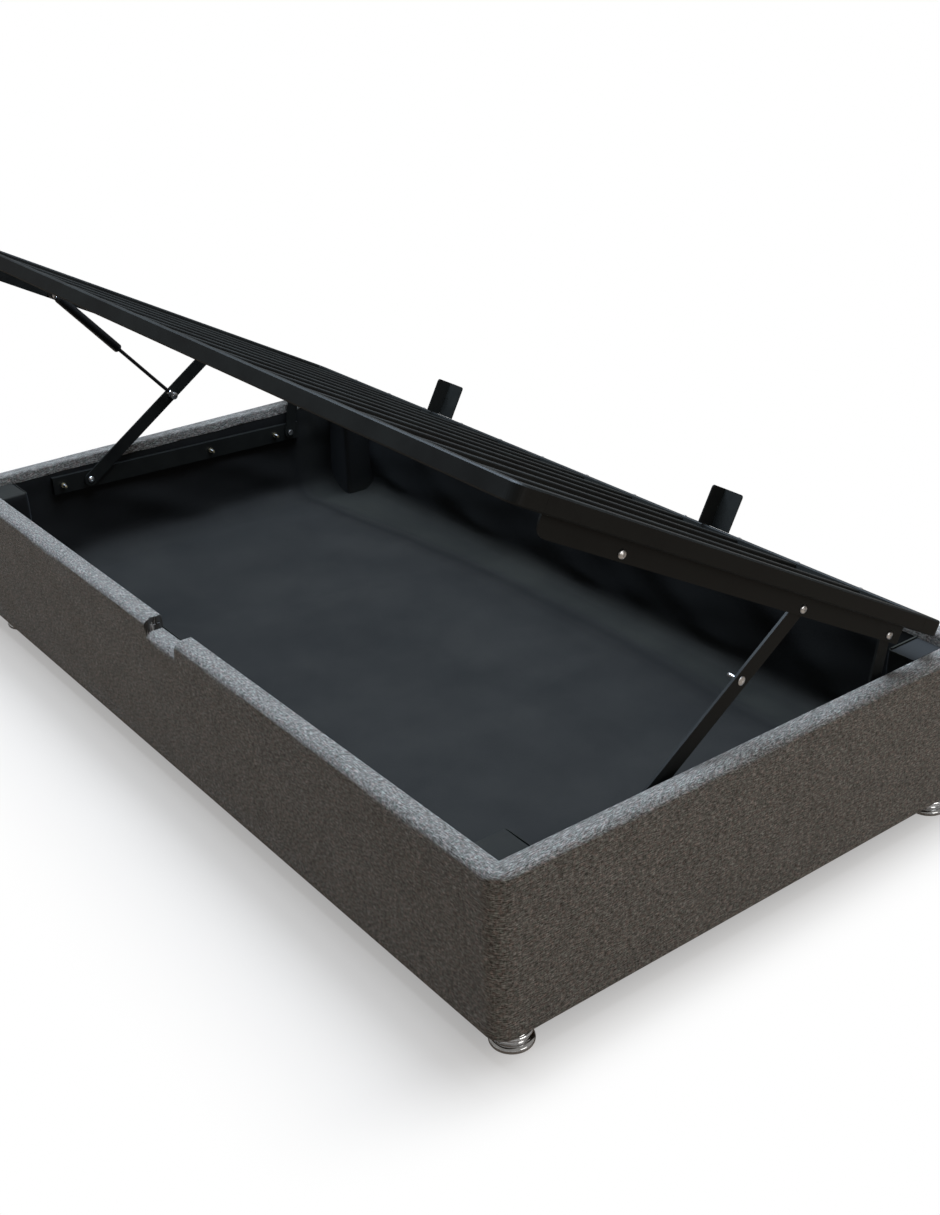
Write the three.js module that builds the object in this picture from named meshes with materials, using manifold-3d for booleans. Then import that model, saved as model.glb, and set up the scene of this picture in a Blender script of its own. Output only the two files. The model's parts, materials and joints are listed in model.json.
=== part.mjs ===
// Metal ottoman bed: an upholstered storage base on chrome feet, with a slatted steel platform that
// swings up on a four-bar linkage at each short end and is held open by a gas strut.
// Millimetres. X runs along the bed, Y from the hand-notch side (front) to the hinge side, Z is up.
// The origin is on the floor under the middle of the base. The platform is drawn raised.
import * as THREE from 'three';
import { mergeVertices } from 'three/addons/utils/BufferGeometryUtils.js';
import Module from 'manifold-3d';

const wasm = await Module();
wasm.setup();

// Overall base
const boxLength = 2080;
const boxWidth = 1142;
const boxHeight = 311;
const footHeight = 40;
const boxTop = footHeight + boxHeight;
const seatGap = 0.3;
const overrun = 5;

// Upholstery over the boards
const coverThickness = 6;
const flapThickness = 3;
const flapWidth = 34;
const lipThickness = 3;
const lipDrop = 24;
const coverCornerRadius = 24;
const coverEdgeRadius = 6;

// Boards, posts, floor and lining
const boardThickness = 32;
const boardInset = coverThickness + boardThickness;
const rimWidth = boardInset + lipThickness;
const postLength = 84;
const postWidth = 80;
const postTopDrop = 26;
const recessLength = 29;
const recessBack = 30;
const recessDrop = 48;
const floorRise = 40;
const liningThickness = 1.5;
const floorThickness = 9;
const coveHeight = 46;
const coveWidth = 52;

// Hand notch in the front wall
const notchX = -3;
const notchWidth = 128;
const notchDepth = 27;
const notchTaper = 7;
const notchRadius = 9;

// Feet
const footRadius = 36;
const footNeckRadius = 21;
const footRightInset = 50;
const footLeftInset = 121;
const footSideInset = 58;
const footStudRadius = 12;
const footProfileShares = [[0, 0], [0.8, 0], [0.88, 0.05], [0.92, 0.2], [1, 0.3], [1, 0.42], [0.84, 0.53]];
const footCapShares = [[0.78, 0.78], [0.94, 0.86], [0.94, 1]];

// Raised pose and linkage. Pivots A and B are on the base, at shares of its width from the middle
// and drops below its rim. C, D and E are on the platform, at shares of its depth.
const pivotAShare = -0.22741;
const pivotADrop = 59;
const pivotBShare = 0.27767;
const pivotBDrop = 75.7;
const armLength = 452.4;
const armOpenAngle = 34.34;
const platformTilt = 28.55;
const pivotCShare = 0.66468;
const pivotDShare = 0.90743;
const pivotEShare = 0.24505;
const upperPivotDrop = 53;
const strutStationOnArm = 294;

// Platform frame
const platformEndInset = 17;
const platformSideInset = 26;
const railSize = 30;
const railWall = 1.5;
const railEdgeRadius = 2.5;
const railBendRadius = 20;
const railInnerRadius = 4;
const railReturn = 60;
const slatCount = 12;
const slatEndMargin = 180.35;
const slatWidth = 25;
const slatHeight = 20;
const slatWall = 1.5;
const slatDrop = 4;

// Mattress stops
const stopHeight = 81;
const stopLegAlongX = 48;
const stopLegAlongY = 42;
const stopThickness = 3;
const stopCornerRadius = 6;
const stopShares = [-0.237, 0.219];

// Link bars and brackets, set out across the end wall from its inner face
const bracketThickness = 4;
const bracketTop = 6;
const bracketDrop = 65;
const bracketFrontMargin = 179.1;
const bracketNoseTop = 34;
const bracketNoseLength = 24;
const bracketBackMargin = 32.9;
const armGap = 3;
const armThickness = 5;
const armWidth = 32;
const linkWidth = 28;
const channelHeight = 44;
const channelWall = 3;
const channelEndMargin = 96;
const channelTailMargin = 30;
const pinRadius = 5;
const pinClearance = 0.3;
const pinHeadRadius = 8;
const pinHeadHeight = 3.2;
const collarHeight = 2.3;
const nutHeight = 3.5;
const headTaper = 0.75;
const rivetHeight = 1.6;
const boltRadius = 3;
const boltHeadRadius = 6.5;
const boltHeadHeight = 4.5;
const boltTailRadius = 3;
const boltTailLength = 9;
const boltDepthInWall = 22;
const boltFrontOffset = 71.3;
const boltMiddleOffset = 238.1;
const boltRearOffset = 44.1;

// Gas strut
const strutPlaneInset = 14;
const cylinderRadius = 11;
const cylinderStart = 9;
const cylinderEnd = 213;
const cylinderWall = 1.7;
const cylinderEndWall = 12;
const cylinderChamfer = 2.5;
const rodRadius = 4.5;
const pistonStart = 182;
const pistonLength = 14;
const eyeRadius = 11;
const eyeWidth = 10;
const socketRadius = 9;
const socketWidth = 12;
const ballRadius = 4.8;
const ballNeckRadius = 3;
const ballShares = [0.1, 0.2, 0.35, 0.5, 0.65, 0.78];

const round = 24;
const weldTolerance = 1e-4;
const deg = THREE.MathUtils.degToRad;
const toDegrees = THREE.MathUtils.radToDeg;

// Planes and places worked out from the sizes above
const floorTop = footHeight + floorRise;
const footRightX = boxLength / 2 - footRightInset;
const footLeftX = footLeftInset - boxLength / 2;
const footY = boxWidth / 2 - footSideInset;
const platformLength = boxLength - 2 * platformEndInset;
const platformDepth = boxWidth - 2 * platformSideInset;
const slatPitch = (platformLength - 2 * slatEndMargin) / (slatCount - 1);
const stopXs = stopShares.map((share) => share * platformLength);
const pivotAY = pivotAShare * boxWidth;
const pivotBY = pivotBShare * boxWidth;
const [pivotCAlong, pivotDAlong, pivotEAlong] =
  [pivotCShare, pivotDShare, pivotEShare].map((share) => share * platformDepth);
const bracketFront = pivotEAlong - bracketFrontMargin;
const bracketBack = pivotDAlong + bracketBackMargin;
const boltYs = [pivotAY - boltFrontOffset, pivotBY - boltMiddleOffset, pivotBY - boltRearOffset];
const liningOffset = boardInset + seatGap;
const liningFaceX = boxLength / 2 - liningOffset - liningThickness;
const bracketOuterX = platformLength / 2 - railSize - seatGap;
const bracketInnerX = bracketOuterX - bracketThickness;
const armOuterX = bracketInnerX - armGap;
const armInnerX = armOuterX - armThickness;
const strutX = armInnerX - strutPlaneInset;
const pivotAZ = boxTop - pivotADrop;
const pivotBZ = boxTop - pivotBDrop;
const armDirection = new THREE.Vector2(Math.cos(deg(armOpenAngle)), Math.sin(deg(armOpenAngle)));
const pivotCY = pivotAY + armLength * armDirection.x;
const pivotCZ = pivotAZ + armLength * armDirection.y;
const alongDirection = new THREE.Vector2(Math.cos(deg(platformTilt)), -Math.sin(deg(platformTilt)));
const normalDirection = new THREE.Vector2(-alongDirection.y, alongDirection.x);
const platformY = pivotCY - pivotCAlong * alongDirection.x + upperPivotDrop * normalDirection.x;
const platformZ = pivotCZ - pivotCAlong * alongDirection.y + upperPivotDrop * normalDirection.y;

// A point of the platform, given along it and below its top, in the base's frame
function platformPoint(along, drop) {
  return new THREE.Vector2(
    platformY + along * alongDirection.x - drop * normalDirection.x,
    platformZ + along * alongDirection.y - drop * normalDirection.y);
}

const pivotD = platformPoint(pivotDAlong, upperPivotDrop);
const pivotE = platformPoint(pivotEAlong, upperPivotDrop);
const linkVector = pivotD.clone().sub(new THREE.Vector2(pivotBY, pivotBZ));
const strutFoot = new THREE.Vector2(pivotAY, pivotAZ).addScaledVector(armDirection, strutStationOnArm);
const strutVector = strutFoot.sub(pivotE);

const materials = {
  cloth: [0x6d6259, 0.95, 0], board: [0xa98c66, 0.8, 0], lining: [0x1d2022, 0.9, 0],
  post: [0x4a4f50, 0.85, 0], steel: [0x1b1c1d, 0.45, 0.2], chrome: [0xd9dcdf, 0.12, 1],
  zinc: [0xc9cccf, 0.3, 1], brass: [0xc9a24a, 0.35, 1], cylinder: [0x141516, 0.3, 0.1],
};

const model = new THREE.Group();

function addPiece(parent, name, geometry, finish) {
  const [color, roughness, metalness] = materials[finish];
  const mesh = new THREE.Mesh(geometry, new THREE.MeshStandardMaterial({ color, roughness, metalness }));
  mesh.name = name;
  parent.add(mesh);
  return mesh;
}

// Closed geometry to a solid, and back
function toSolid(geometry) {
  const bare = geometry.index ? geometry.toNonIndexed() : geometry.clone();
  bare.deleteAttribute('normal');
  bare.deleteAttribute('uv');
  const merged = mergeVertices(bare, weldTolerance);
  return new wasm.Manifold(new wasm.Mesh({
    numProp: 3,
    vertProperties: new Float32Array(merged.attributes.position.array),
    triVerts: new Uint32Array(merged.index.array),
  }));
}

function toGeometry(solid) {
  const { vertProperties, triVerts } = solid.getMesh();
  const geometry = new THREE.BufferGeometry();
  geometry.setAttribute('position', new THREE.BufferAttribute(new Float32Array(vertProperties), 3));
  geometry.setIndex(new THREE.BufferAttribute(new Uint32Array(triVerts), 1));
  geometry.computeVertexNormals();
  return geometry;
}

function combine(base, { add = [], cut = [] }) {
  let solid = toSolid(base);
  for (const piece of add) solid = solid.add(toSolid(piece));
  for (const piece of cut) solid = solid.subtract(toSolid(piece));
  return toGeometry(solid);
}

// Axis-aligned block from its low corner to its high corner
function block(x0, x1, y0, y1, z0, z1) {
  const box = new THREE.BoxGeometry(x1 - x0, y1 - y0, z1 - z0);
  return box.translate((x0 + x1) / 2, (y0 + y1) / 2, (z0 + z1) / 2);
}

function roundedRect(width, height, radius) {
  const shape = new THREE.Shape();
  const [x, y] = [width / 2, height / 2];
  shape.moveTo(-x + radius, -y).lineTo(x - radius, -y);
  shape.absarc(x - radius, -y + radius, radius, -Math.PI / 2, 0);
  shape.absarc(x - radius, y - radius, radius, 0, Math.PI / 2);
  shape.absarc(-x + radius, y - radius, radius, Math.PI / 2, Math.PI);
  shape.absarc(-x + radius, -y + radius, radius, Math.PI, 1.5 * Math.PI);
  return shape;
}

function prism(shape, z0, z1, curveSegments = 6) {
  const geometry = new THREE.ExtrudeGeometry(shape, { depth: z1 - z0, bevelEnabled: false, curveSegments });
  return geometry.translate(0, 0, z0);
}

// A profile drawn in (Y, Z) and extruded along X from x0 to x1
const sideways = new THREE.Matrix4().makeBasis(
  new THREE.Vector3(0, 1, 0), new THREE.Vector3(0, 0, 1), new THREE.Vector3(1, 0, 0));

function sideProfile(shape, x0, x1, curveSegments = 8) {
  return prism(shape, Math.min(x0, x1), Math.max(x0, x1), curveSegments).applyMatrix4(sideways);
}

// A turned piece on an axis along X: stations are [x, radius]
function turnedX(stations, y, z, segments = round) {
  const points = stations.map(([x, r]) => new THREE.Vector2(r, x));
  const first = new THREE.Vector2(0, points[0].y);
  const last = new THREE.Vector2(0, points[points.length - 1].y);
  const lathe = new THREE.LatheGeometry([first, ...points, last], segments);
  lathe.rotateZ(-Math.PI / 2);
  return lathe.translate(0, y, z);
}

// The same, with stations given for the right end; side -1 puts it at the left end
function mirroredTurn(side, stations, y, z, segments = round) {
  const placed = stations.map(([x, r]) => [side * x, r]);
  return turnedX(side > 0 ? placed : placed.reverse(), y, z, segments);
}

// The base: boards, cover, posts, floor, lining and feet
const base = new THREE.Group();
model.add(base);

function notchOutline(grow) {
  const half = notchWidth / 2 + grow;
  const depth = notchDepth + grow;
  const radius = notchRadius;
  const shape = new THREE.Shape();
  shape.moveTo(-half, overrun).lineTo(-half, 0).lineTo(-half + notchTaper, -depth + radius);
  shape.quadraticCurveTo(-half + notchTaper, -depth, -half + notchTaper + radius, -depth);
  shape.lineTo(half - notchTaper - radius, -depth);
  shape.quadraticCurveTo(half - notchTaper, -depth, half - notchTaper, -depth + radius);
  shape.lineTo(half, 0).lineTo(half, overrun);
  return shape;
}

// The notch as a block that runs through the front wall, its outline seen from the front
function notchCutter(grow) {
  const cutter = prism(notchOutline(grow), 0, rimWidth + 2 * overrun, 4);
  cutter.rotateX(Math.PI / 2);
  return cutter.translate(notchX, -boxWidth / 2 + rimWidth + overrun, boxTop);
}

function ringRect(inset) {
  return [boxLength - 2 * inset, boxWidth - 2 * inset];
}

function fabricCover() {
  const body = new THREE.ExtrudeGeometry(
    roundedRect(...ringRect(coverEdgeRadius), coverCornerRadius - coverEdgeRadius),
    { depth: boxHeight - 2 * coverEdgeRadius, bevelSize: coverEdgeRadius, bevelThickness: coverEdgeRadius,
      bevelSegments: 3, curveSegments: 6 });
  body.translate(0, 0, footHeight + coverEdgeRadius);
  const boardRadius = coverCornerRadius - coverThickness;
  const boardTop = boxTop - coverThickness;
  const [openX, openY] = ringRect(rimWidth).map((size) => size / 2);
  const [liningX, liningY] = ringRect(boardInset).map((size) => size / 2);
  const [flapX, flapY] = ringRect(flapWidth).map((size) => size / 2);
  const boardSpace = combine(
    prism(roundedRect(...ringRect(coverThickness), boardRadius), footHeight + flapThickness, boardTop),
    { cut: [block(-liningX, liningX, -liningY, liningY, 0, boxTop), notchCutter(coverThickness)] });
  return combine(body, { cut: [
    boardSpace,
    block(-liningX, liningX, -liningY, liningY, footHeight + flapThickness, boxTop - lipDrop),
    block(-openX, openX, -openY, openY, footHeight + flapThickness, boxTop + overrun),
    block(-flapX, flapX, -flapY, flapY, 0, footHeight + flapThickness + overrun),
    notchCutter(0),
  ] });
}

function longBoard(side) {
  const inset = coverThickness + seatGap;
  const [outX, outY] = ringRect(inset).map((size) => size / 2);
  const innerY = boxWidth / 2 - boardInset;
  const plan = prism(roundedRect(...ringRect(inset), coverCornerRadius - coverThickness),
    footHeight + flapThickness + seatGap, boxTop - coverThickness - seatGap);
  const cut = [block(-outX - overrun, outX + overrun, side > 0 ? -outY - overrun : -innerY,
    side > 0 ? innerY : outY + overrun, 0, boxTop)];
  if (side < 0) cut.push(notchCutter(coverThickness + seatGap));
  return combine(plan, { cut });
}

function boltHoles(side, reach) {
  const radius = boltRadius + pinClearance;
  return boltYs.map((y) => mirroredTurn(
    side, [[armInnerX - overrun, radius], [reach, radius]], y, bracketLineZ(y), round / 2));
}

function endBoard(side) {
  const outer = boxLength / 2 - coverThickness - seatGap;
  const inner = boxLength / 2 - boardInset;
  const halfWidth = boxWidth / 2 - boardInset - seatGap;
  const board = block(Math.min(side * inner, side * outer), Math.max(side * inner, side * outer),
    -halfWidth, halfWidth, footHeight + flapThickness + seatGap, boxTop - coverThickness - seatGap);
  return combine(board, { cut: boltHoles(side, inner + boltDepthInWall) });
}

// A corner post; the hinge-side ones are recessed beside the end wall to clear the rear link
function post(sideX, sideY, z0, z1, grow) {
  const outX = boxLength / 2 - boardInset - seatGap;
  const outY = boxWidth / 2 - boardInset - seatGap;
  const span = (side, a, b) => [side * a, side * b].sort((p, q) => p - q);
  const whole = block(...span(sideX, outX - postLength - grow, outX + grow),
    ...span(sideY, outY - postWidth - grow, outY + grow), z0, z1);
  if (sideY < 0) return whole;
  return combine(whole, { cut: [block(
    ...span(sideX, outX - recessLength + grow, outX + overrun),
    ...span(sideY, outY - postWidth - overrun, outY - recessBack - grow),
    boxTop - recessDrop + grow, boxTop + 2 * overrun)] });
}

const corners = [[-1, -1, 'front_left'], [1, -1, 'front_right'], [-1, 1, 'back_left'], [1, 1, 'back_right']];

function floorPanel() {
  const x = boxLength / 2 - boardInset - seatGap;
  const y = boxWidth / 2 - boardInset - seatGap;
  const top = floorTop - liningThickness - seatGap;
  return combine(block(-x, x, -y, y, top - floorThickness, top), {
    cut: corners.map(([sx, sy]) => post(sx, sy, 0, boxTop, seatGap)) });
}

// The lining: a tub of thin cloth round the posts, coved along the hinge side
function tubSpace(inset, bottom, top, grow) {
  const x = boxLength / 2 - inset;
  const y = boxWidth / 2 - inset;
  const cove = new THREE.Shape();
  cove.moveTo(y + overrun, bottom - overrun).lineTo(y + overrun, bottom + coveHeight + overrun);
  cove.lineTo(y, bottom + coveHeight).lineTo(y - coveWidth, bottom).lineTo(y - coveWidth, bottom - overrun);
  return combine(block(-x, x, -y, y, bottom, top), { cut: [
    ...corners.map(([sx, sy]) => post(sx, sy, 0, boxTop + overrun, grow)),
    sideProfile(cove, -x - overrun, x + overrun),
  ] });
}

function lining() {
  const top = boxTop - lipDrop - seatGap;
  const outer = tubSpace(liningOffset, floorTop - liningThickness, top, seatGap);
  const inner = tubSpace(liningOffset + liningThickness, floorTop, boxTop, seatGap + liningThickness);
  return combine(outer, { cut: [inner, ...[-1, 1].flatMap((side) => boltHoles(side, boxLength / 2))] });
}

// A low turned foot: disc, waist and cap, with a stud that reaches up to the corner post
function foot() {
  const height = footHeight - seatGap;
  const scale = ([r, z]) => new THREE.Vector2(r * footRadius, z * height);
  const waistTop = footCapShares[0][1] * height;
  const waistBottom = footProfileShares[footProfileShares.length - 1][1] * height;
  const studTop = footHeight + flapThickness;
  const profile = [
    ...footProfileShares.map(scale),
    new THREE.Vector2(footNeckRadius, waistBottom),
    new THREE.Vector2(footNeckRadius, waistTop),
    ...footCapShares.map(scale),
    new THREE.Vector2(footStudRadius, height),
    new THREE.Vector2(footStudRadius, studTop),
    new THREE.Vector2(0, studTop),
  ];
  return new THREE.LatheGeometry(profile, round).rotateX(Math.PI / 2);
}

function buildBase() {
  addPiece(base, 'fabric_cover', fabricCover(), 'cloth');
  addPiece(base, 'front_board', longBoard(-1), 'board');
  addPiece(base, 'back_board', longBoard(1), 'board');
  addPiece(base, 'left_end_board', endBoard(-1), 'board');
  addPiece(base, 'right_end_board', endBoard(1), 'board');
  for (const [sx, sy, name] of corners) {
    const timber = post(sx, sy, footHeight + flapThickness + seatGap, boxTop - postTopDrop, 0);
    addPiece(base, `corner_post_${name}`, timber, 'post');
    const mesh = addPiece(base, `foot_${name}`, foot(), 'chrome');
    mesh.position.set(sx > 0 ? footRightX : footLeftX, sy * footY, 0);
  }
  addPiece(base, 'floor_panel', floorPanel(), 'board');
  addPiece(base, 'well_lining', lining(), 'lining');
}

// Mechanism on the end walls: a channel that carries both lower pivots
const channelSlope = (pivotBZ - pivotAZ) / (pivotBY - pivotAY);

function bracketLineZ(y) {
  return pivotAZ + channelSlope * (y - pivotAY);
}

function circleHole(y, z, radius) {
  const hole = new THREE.Path();
  hole.absarc(y, z, radius, 0, 2 * Math.PI);
  return hole;
}

function channel(side) {
  const y0 = pivotAY - channelEndMargin;
  const y1 = pivotBY + channelTailMargin;
  const half = channelHeight / 2;
  const outline = new THREE.Shape();
  outline.moveTo(y0, bracketLineZ(y0) - half).lineTo(y1, bracketLineZ(y1) - half);
  outline.lineTo(y1, bracketLineZ(y1) + half).lineTo(y0, bracketLineZ(y0) + half);
  const inner = half - channelWall;
  const hollow = new THREE.Shape();
  hollow.moveTo(y0 - overrun, bracketLineZ(y0 - overrun) - inner);
  hollow.lineTo(y1 + overrun, bracketLineZ(y1 + overrun) - inner);
  hollow.lineTo(y1 + overrun, bracketLineZ(y1 + overrun) + inner);
  hollow.lineTo(y0 - overrun, bracketLineZ(y0 - overrun) + inner);
  return combine(sideProfile(outline, side * bracketInnerX, side * (liningFaceX - seatGap)), {
    cut: [
      sideProfile(hollow, side * (bracketInnerX + channelWall), side * boxLength / 2),
      mirroredTurn(side, [[0, pinRadius + pinClearance], [boxLength, pinRadius + pinClearance]],
        pivotAY, pivotAZ),
      ...boltHoles(side, boxLength / 2),
    ],
    add: [lowerPin(side, pivotBY, pivotBZ, [[bracketInnerX + channelWall + rivetHeight, pinRadius]])],
  });
}

// Bolt through the channel into the wall, its threaded tail standing out of the nut
function wallBolt(side, y) {
  const nutFace = bracketInnerX - seatGap;
  return mirroredTurn(side, [
    [nutFace - boltHeadHeight - boltTailLength, boltTailRadius],
    [nutFace - boltHeadHeight, boltTailRadius],
    [nutFace - boltHeadHeight, boltHeadRadius],
    [nutFace, boltHeadRadius],
    [nutFace, boltRadius],
    [boxLength / 2 - boardInset + boltDepthInWall - overrun, boltRadius],
  ], y, bracketLineZ(y), 6);
}

// Shoulder stud at a lower pivot, from its head inside the arm to the far end given
function lowerPin(side, y, z, tail) {
  return mirroredTurn(side, [
    [armInnerX - seatGap - pinHeadHeight, pinHeadRadius * headTaper],
    [armInnerX - seatGap, pinHeadRadius],
    [armInnerX - seatGap, pinRadius],
    [armOuterX + seatGap, pinRadius],
    [armOuterX + seatGap, pinHeadRadius],
    [armOuterX + seatGap + collarHeight, pinHeadRadius],
    [armOuterX + seatGap + collarHeight, pinRadius],
    ...tail,
  ], y, z);
}

function flatBar(length, width, holes) {
  const shape = new THREE.Shape();
  shape.absarc(0, 0, width / 2, Math.PI / 2, 1.5 * Math.PI);
  shape.absarc(length, 0, width / 2, -Math.PI / 2, Math.PI / 2);
  for (const station of holes) shape.holes.push(circleHole(station, 0, pinRadius + pinClearance));
  return shape;
}

function hinged(parent, y, z, angle) {
  const group = new THREE.Group();
  group.position.set(0, y, z);
  group.rotation.x = deg(angle);
  parent.add(group);
  return group;
}

// Stud for the strut's lower end, riveted through the arm. The bare one shows its ball;
// the other stops at the face of the strut's socket, which hides the ball.
function armStud(side) {
  const collarFace = armInnerX - seatGap - collarHeight;
  const ball = [];
  for (const share of ballShares) {
    const angle = Math.PI * share;
    ball.push([strutX - ballRadius * Math.cos(angle), ballRadius * Math.sin(angle)]);
  }
  const tip = side > 0 ? ball : [[strutX + socketWidth / 2 + seatGap, ballNeckRadius]];
  return mirroredTurn(side, [
    ...tip,
    [collarFace, ballNeckRadius],
    [collarFace, pinHeadRadius],
    [armInnerX - seatGap, pinHeadRadius],
    [armInnerX - seatGap, pinRadius],
    [armOuterX + seatGap, pinRadius],
    [armOuterX + seatGap, pinHeadRadius],
    [armOuterX + seatGap + rivetHeight, pinHeadRadius * headTaper],
  ], strutStationOnArm, 0);
}

// Rear link with a riveted stub at its upper hole, its head on the inner side
function rearLink(side) {
  const length = linkVector.length();
  const bar = sideProfile(flatBar(length, linkWidth, [0]), side * armInnerX, side * armOuterX);
  const rivet = mirroredTurn(side, [
    [armInnerX - pinHeadHeight, pinHeadRadius * headTaper],
    [armInnerX, pinHeadRadius],
    [armOuterX, pinRadius],
  ], length, 0);
  return combine(bar, { add: [rivet] });
}

function buildLinkage() {
  for (const [side, name] of [[-1, 'left'], [1, 'right']]) {
    addPiece(base, `wall_channel_${name}`, channel(side), 'steel');
    boltYs.forEach((y, i) => addPiece(base, `wall_bolt_${name}_${i + 1}`, wallBolt(side, y), 'brass'));
    const nutFace = bracketInnerX + channelWall + seatGap;
    addPiece(base, `arm_pin_${name}`, lowerPin(side, pivotAY, pivotAZ, [
      [nutFace, pinRadius], [nutFace, pinHeadRadius], [nutFace + nutHeight, pinHeadRadius]]), 'zinc');
    const arm = hinged(model, pivotAY, pivotAZ, armOpenAngle);
    const armShape = flatBar(armLength, armWidth, [0, strutStationOnArm, armLength]);
    addPiece(arm, `lift_arm_${name}`, sideProfile(armShape, side * armInnerX, side * armOuterX), 'steel');
    addPiece(arm, `arm_stud_${name}`, armStud(side), 'zinc');
    const link = hinged(model, pivotBY, pivotBZ, toDegrees(linkVector.angle()));
    addPiece(link, `rear_link_${name}`, rearLink(side), 'steel');
  }
}

// The platform, in its own frame: Y runs from its front edge, Z is up from its top face
const platform = hinged(model, platformY, platformZ, -platformTilt);

// The four rails as one ring of square tube, from which each rail is taken
function railRing(inset, bevel, z0, z1) {
  const size = (grow) => [platformLength - 2 * (inset + grow), platformDepth - 2 * (inset + grow)];
  const width = railSize - 2 * inset;
  const ring = roundedRect(...size(bevel), railBendRadius - inset - bevel);
  ring.holes.push(roundedRect(...size(width - bevel), railInnerRadius + inset + bevel));
  const geometry = new THREE.ExtrudeGeometry(ring, {
    depth: z1 - z0 - 2 * bevel, bevelEnabled: bevel > 0, bevelSize: bevel, bevelThickness: bevel,
    bevelSegments: 1, curveSegments: 4 });
  return geometry.translate(0, platformDepth / 2, z0 + bevel);
}

function rail(keep) {
  const ring = toSolid(railRing(0, railEdgeRadius, -railSize, 0));
  const hollow = toSolid(railRing(railWall, 0, railWall - railSize, -railWall, 0));
  return toGeometry(ring.subtract(hollow).intersect(toSolid(keep)));
}

function slat() {
  const length = platformDepth - 2 * (railSize + seatGap);
  const tube = roundedRect(slatWidth, slatHeight, railEdgeRadius);
  tube.holes.push(roundedRect(slatWidth - 2 * slatWall, slatHeight - 2 * slatWall, slatWall));
  const geometry = prism(tube, -length / 2, length / 2, 1).rotateX(Math.PI / 2);
  return geometry.translate(0, platformDepth / 2, -slatDrop - slatHeight / 2);
}

// Upright angle on the back rail that stops the mattress sliding when the platform is raised
function mattressStop() {
  const upright = (length) => {
    const shape = new THREE.Shape();
    shape.moveTo(0, 0).lineTo(length, 0).lineTo(length, stopHeight - stopCornerRadius);
    shape.absarc(length - stopCornerRadius, stopHeight - stopCornerRadius, stopCornerRadius, 0, Math.PI / 2);
    shape.lineTo(0, stopHeight);
    return prism(shape, 0, stopThickness, 3);
  };
  const across = upright(stopLegAlongX).rotateX(Math.PI / 2);
  const inward = upright(stopLegAlongY).rotateX(Math.PI / 2).rotateZ(-Math.PI / 2);
  return combine(across, { add: [inward] }).translate(0, platformDepth, seatGap);
}

// Plate under an end rail that carries the three upper pivots
function pivotPlate(side) {
  const shape = new THREE.Shape();
  const low = -bracketDrop;
  shape.moveTo(bracketFront, -bracketTop).lineTo(bracketFront, -bracketNoseTop);
  shape.quadraticCurveTo(bracketFront, low, bracketFront + bracketNoseLength, low);
  shape.lineTo(bracketBack, low).lineTo(bracketBack, -bracketTop);
  for (const along of [pivotEAlong, pivotCAlong, pivotDAlong]) {
    shape.holes.push(circleHole(along, -upperPivotDrop, pinRadius + pinClearance));
  }
  return sideProfile(shape, side * bracketInnerX, side * bracketOuterX);
}

// Bolt through the pivot plate: head outside, then the tail given, which runs inward
function upperPin(side, along, tail) {
  const headFace = bracketOuterX + seatGap;
  return mirroredTurn(side, [
    ...tail,
    [headFace, pinRadius],
    [headFace, pinHeadRadius],
    [headFace + pinHeadHeight, pinHeadRadius * headTaper],
  ], along, -upperPivotDrop);
}

function upperPins(side) {
  const collarFace = bracketInnerX - seatGap;
  const collar = [[collarFace, pinHeadRadius], [collarFace, pinRadius]];
  const eyeFar = strutX - eyeWidth / 2 - seatGap;
  const eyeNear = strutX + eyeWidth / 2 + seatGap;
  return {
    arm: upperPin(side, pivotCAlong, [
      [armInnerX - seatGap - pinHeadHeight, pinHeadRadius * headTaper],
      [armInnerX - seatGap, pinHeadRadius], [armInnerX - seatGap, pinRadius],
      [armOuterX + seatGap, pinRadius], [armOuterX + seatGap, pinHeadRadius], ...collar]),
    link: upperPin(side, pivotDAlong, [[collarFace - collarHeight + seatGap, pinHeadRadius], ...collar]),
    strut: upperPin(side, pivotEAlong, [
      [eyeFar - pinHeadHeight, pinHeadRadius * headTaper], [eyeFar, pinHeadRadius], [eyeFar, pinRadius],
      [eyeNear, pinRadius], [eyeNear, pinHeadRadius], ...collar]),
  };
}

function buildPlatform() {
  const far = boxLength;
  const sideLow = railReturn + seatGap;
  const sideHigh = platformDepth - railReturn - seatGap;
  const keeps = {
    front_rail: block(-far, far, -far, railReturn, -far, far),
    back_rail: block(-far, far, platformDepth - railReturn, far, -far, far),
    left_end_rail: block(-far, 0, sideLow, sideHigh, -far, far),
    right_end_rail: block(0, far, sideLow, sideHigh, -far, far),
  };
  for (const [name, keep] of Object.entries(keeps)) addPiece(platform, name, rail(keep), 'steel');
  for (let i = 0; i < slatCount; i += 1) {
    const mesh = addPiece(platform, `slat_${i + 1}`, slat(), 'steel');
    mesh.position.x = (i - (slatCount - 1) / 2) * slatPitch;
  }
  stopXs.forEach((x, i) => {
    const mesh = addPiece(platform, `mattress_stop_${i + 1}`, mattressStop(), 'steel');
    mesh.position.x = x;
  });
  for (const [side, name] of [[-1, 'left'], [1, 'right']]) {
    addPiece(platform, `pivot_plate_${name}`, pivotPlate(side), 'steel');
    for (const [use, geometry] of Object.entries(upperPins(side))) {
      addPiece(platform, `${use}_bolt_${name}`, geometry, 'zinc');
    }
  }
}

// The gas strut, in its own frame: Y runs from the upper eye to the socket on the arm
function turnedY(points) {
  return new THREE.LatheGeometry(points.map(([y, r]) => new THREE.Vector2(r, y)), round);
}

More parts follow.
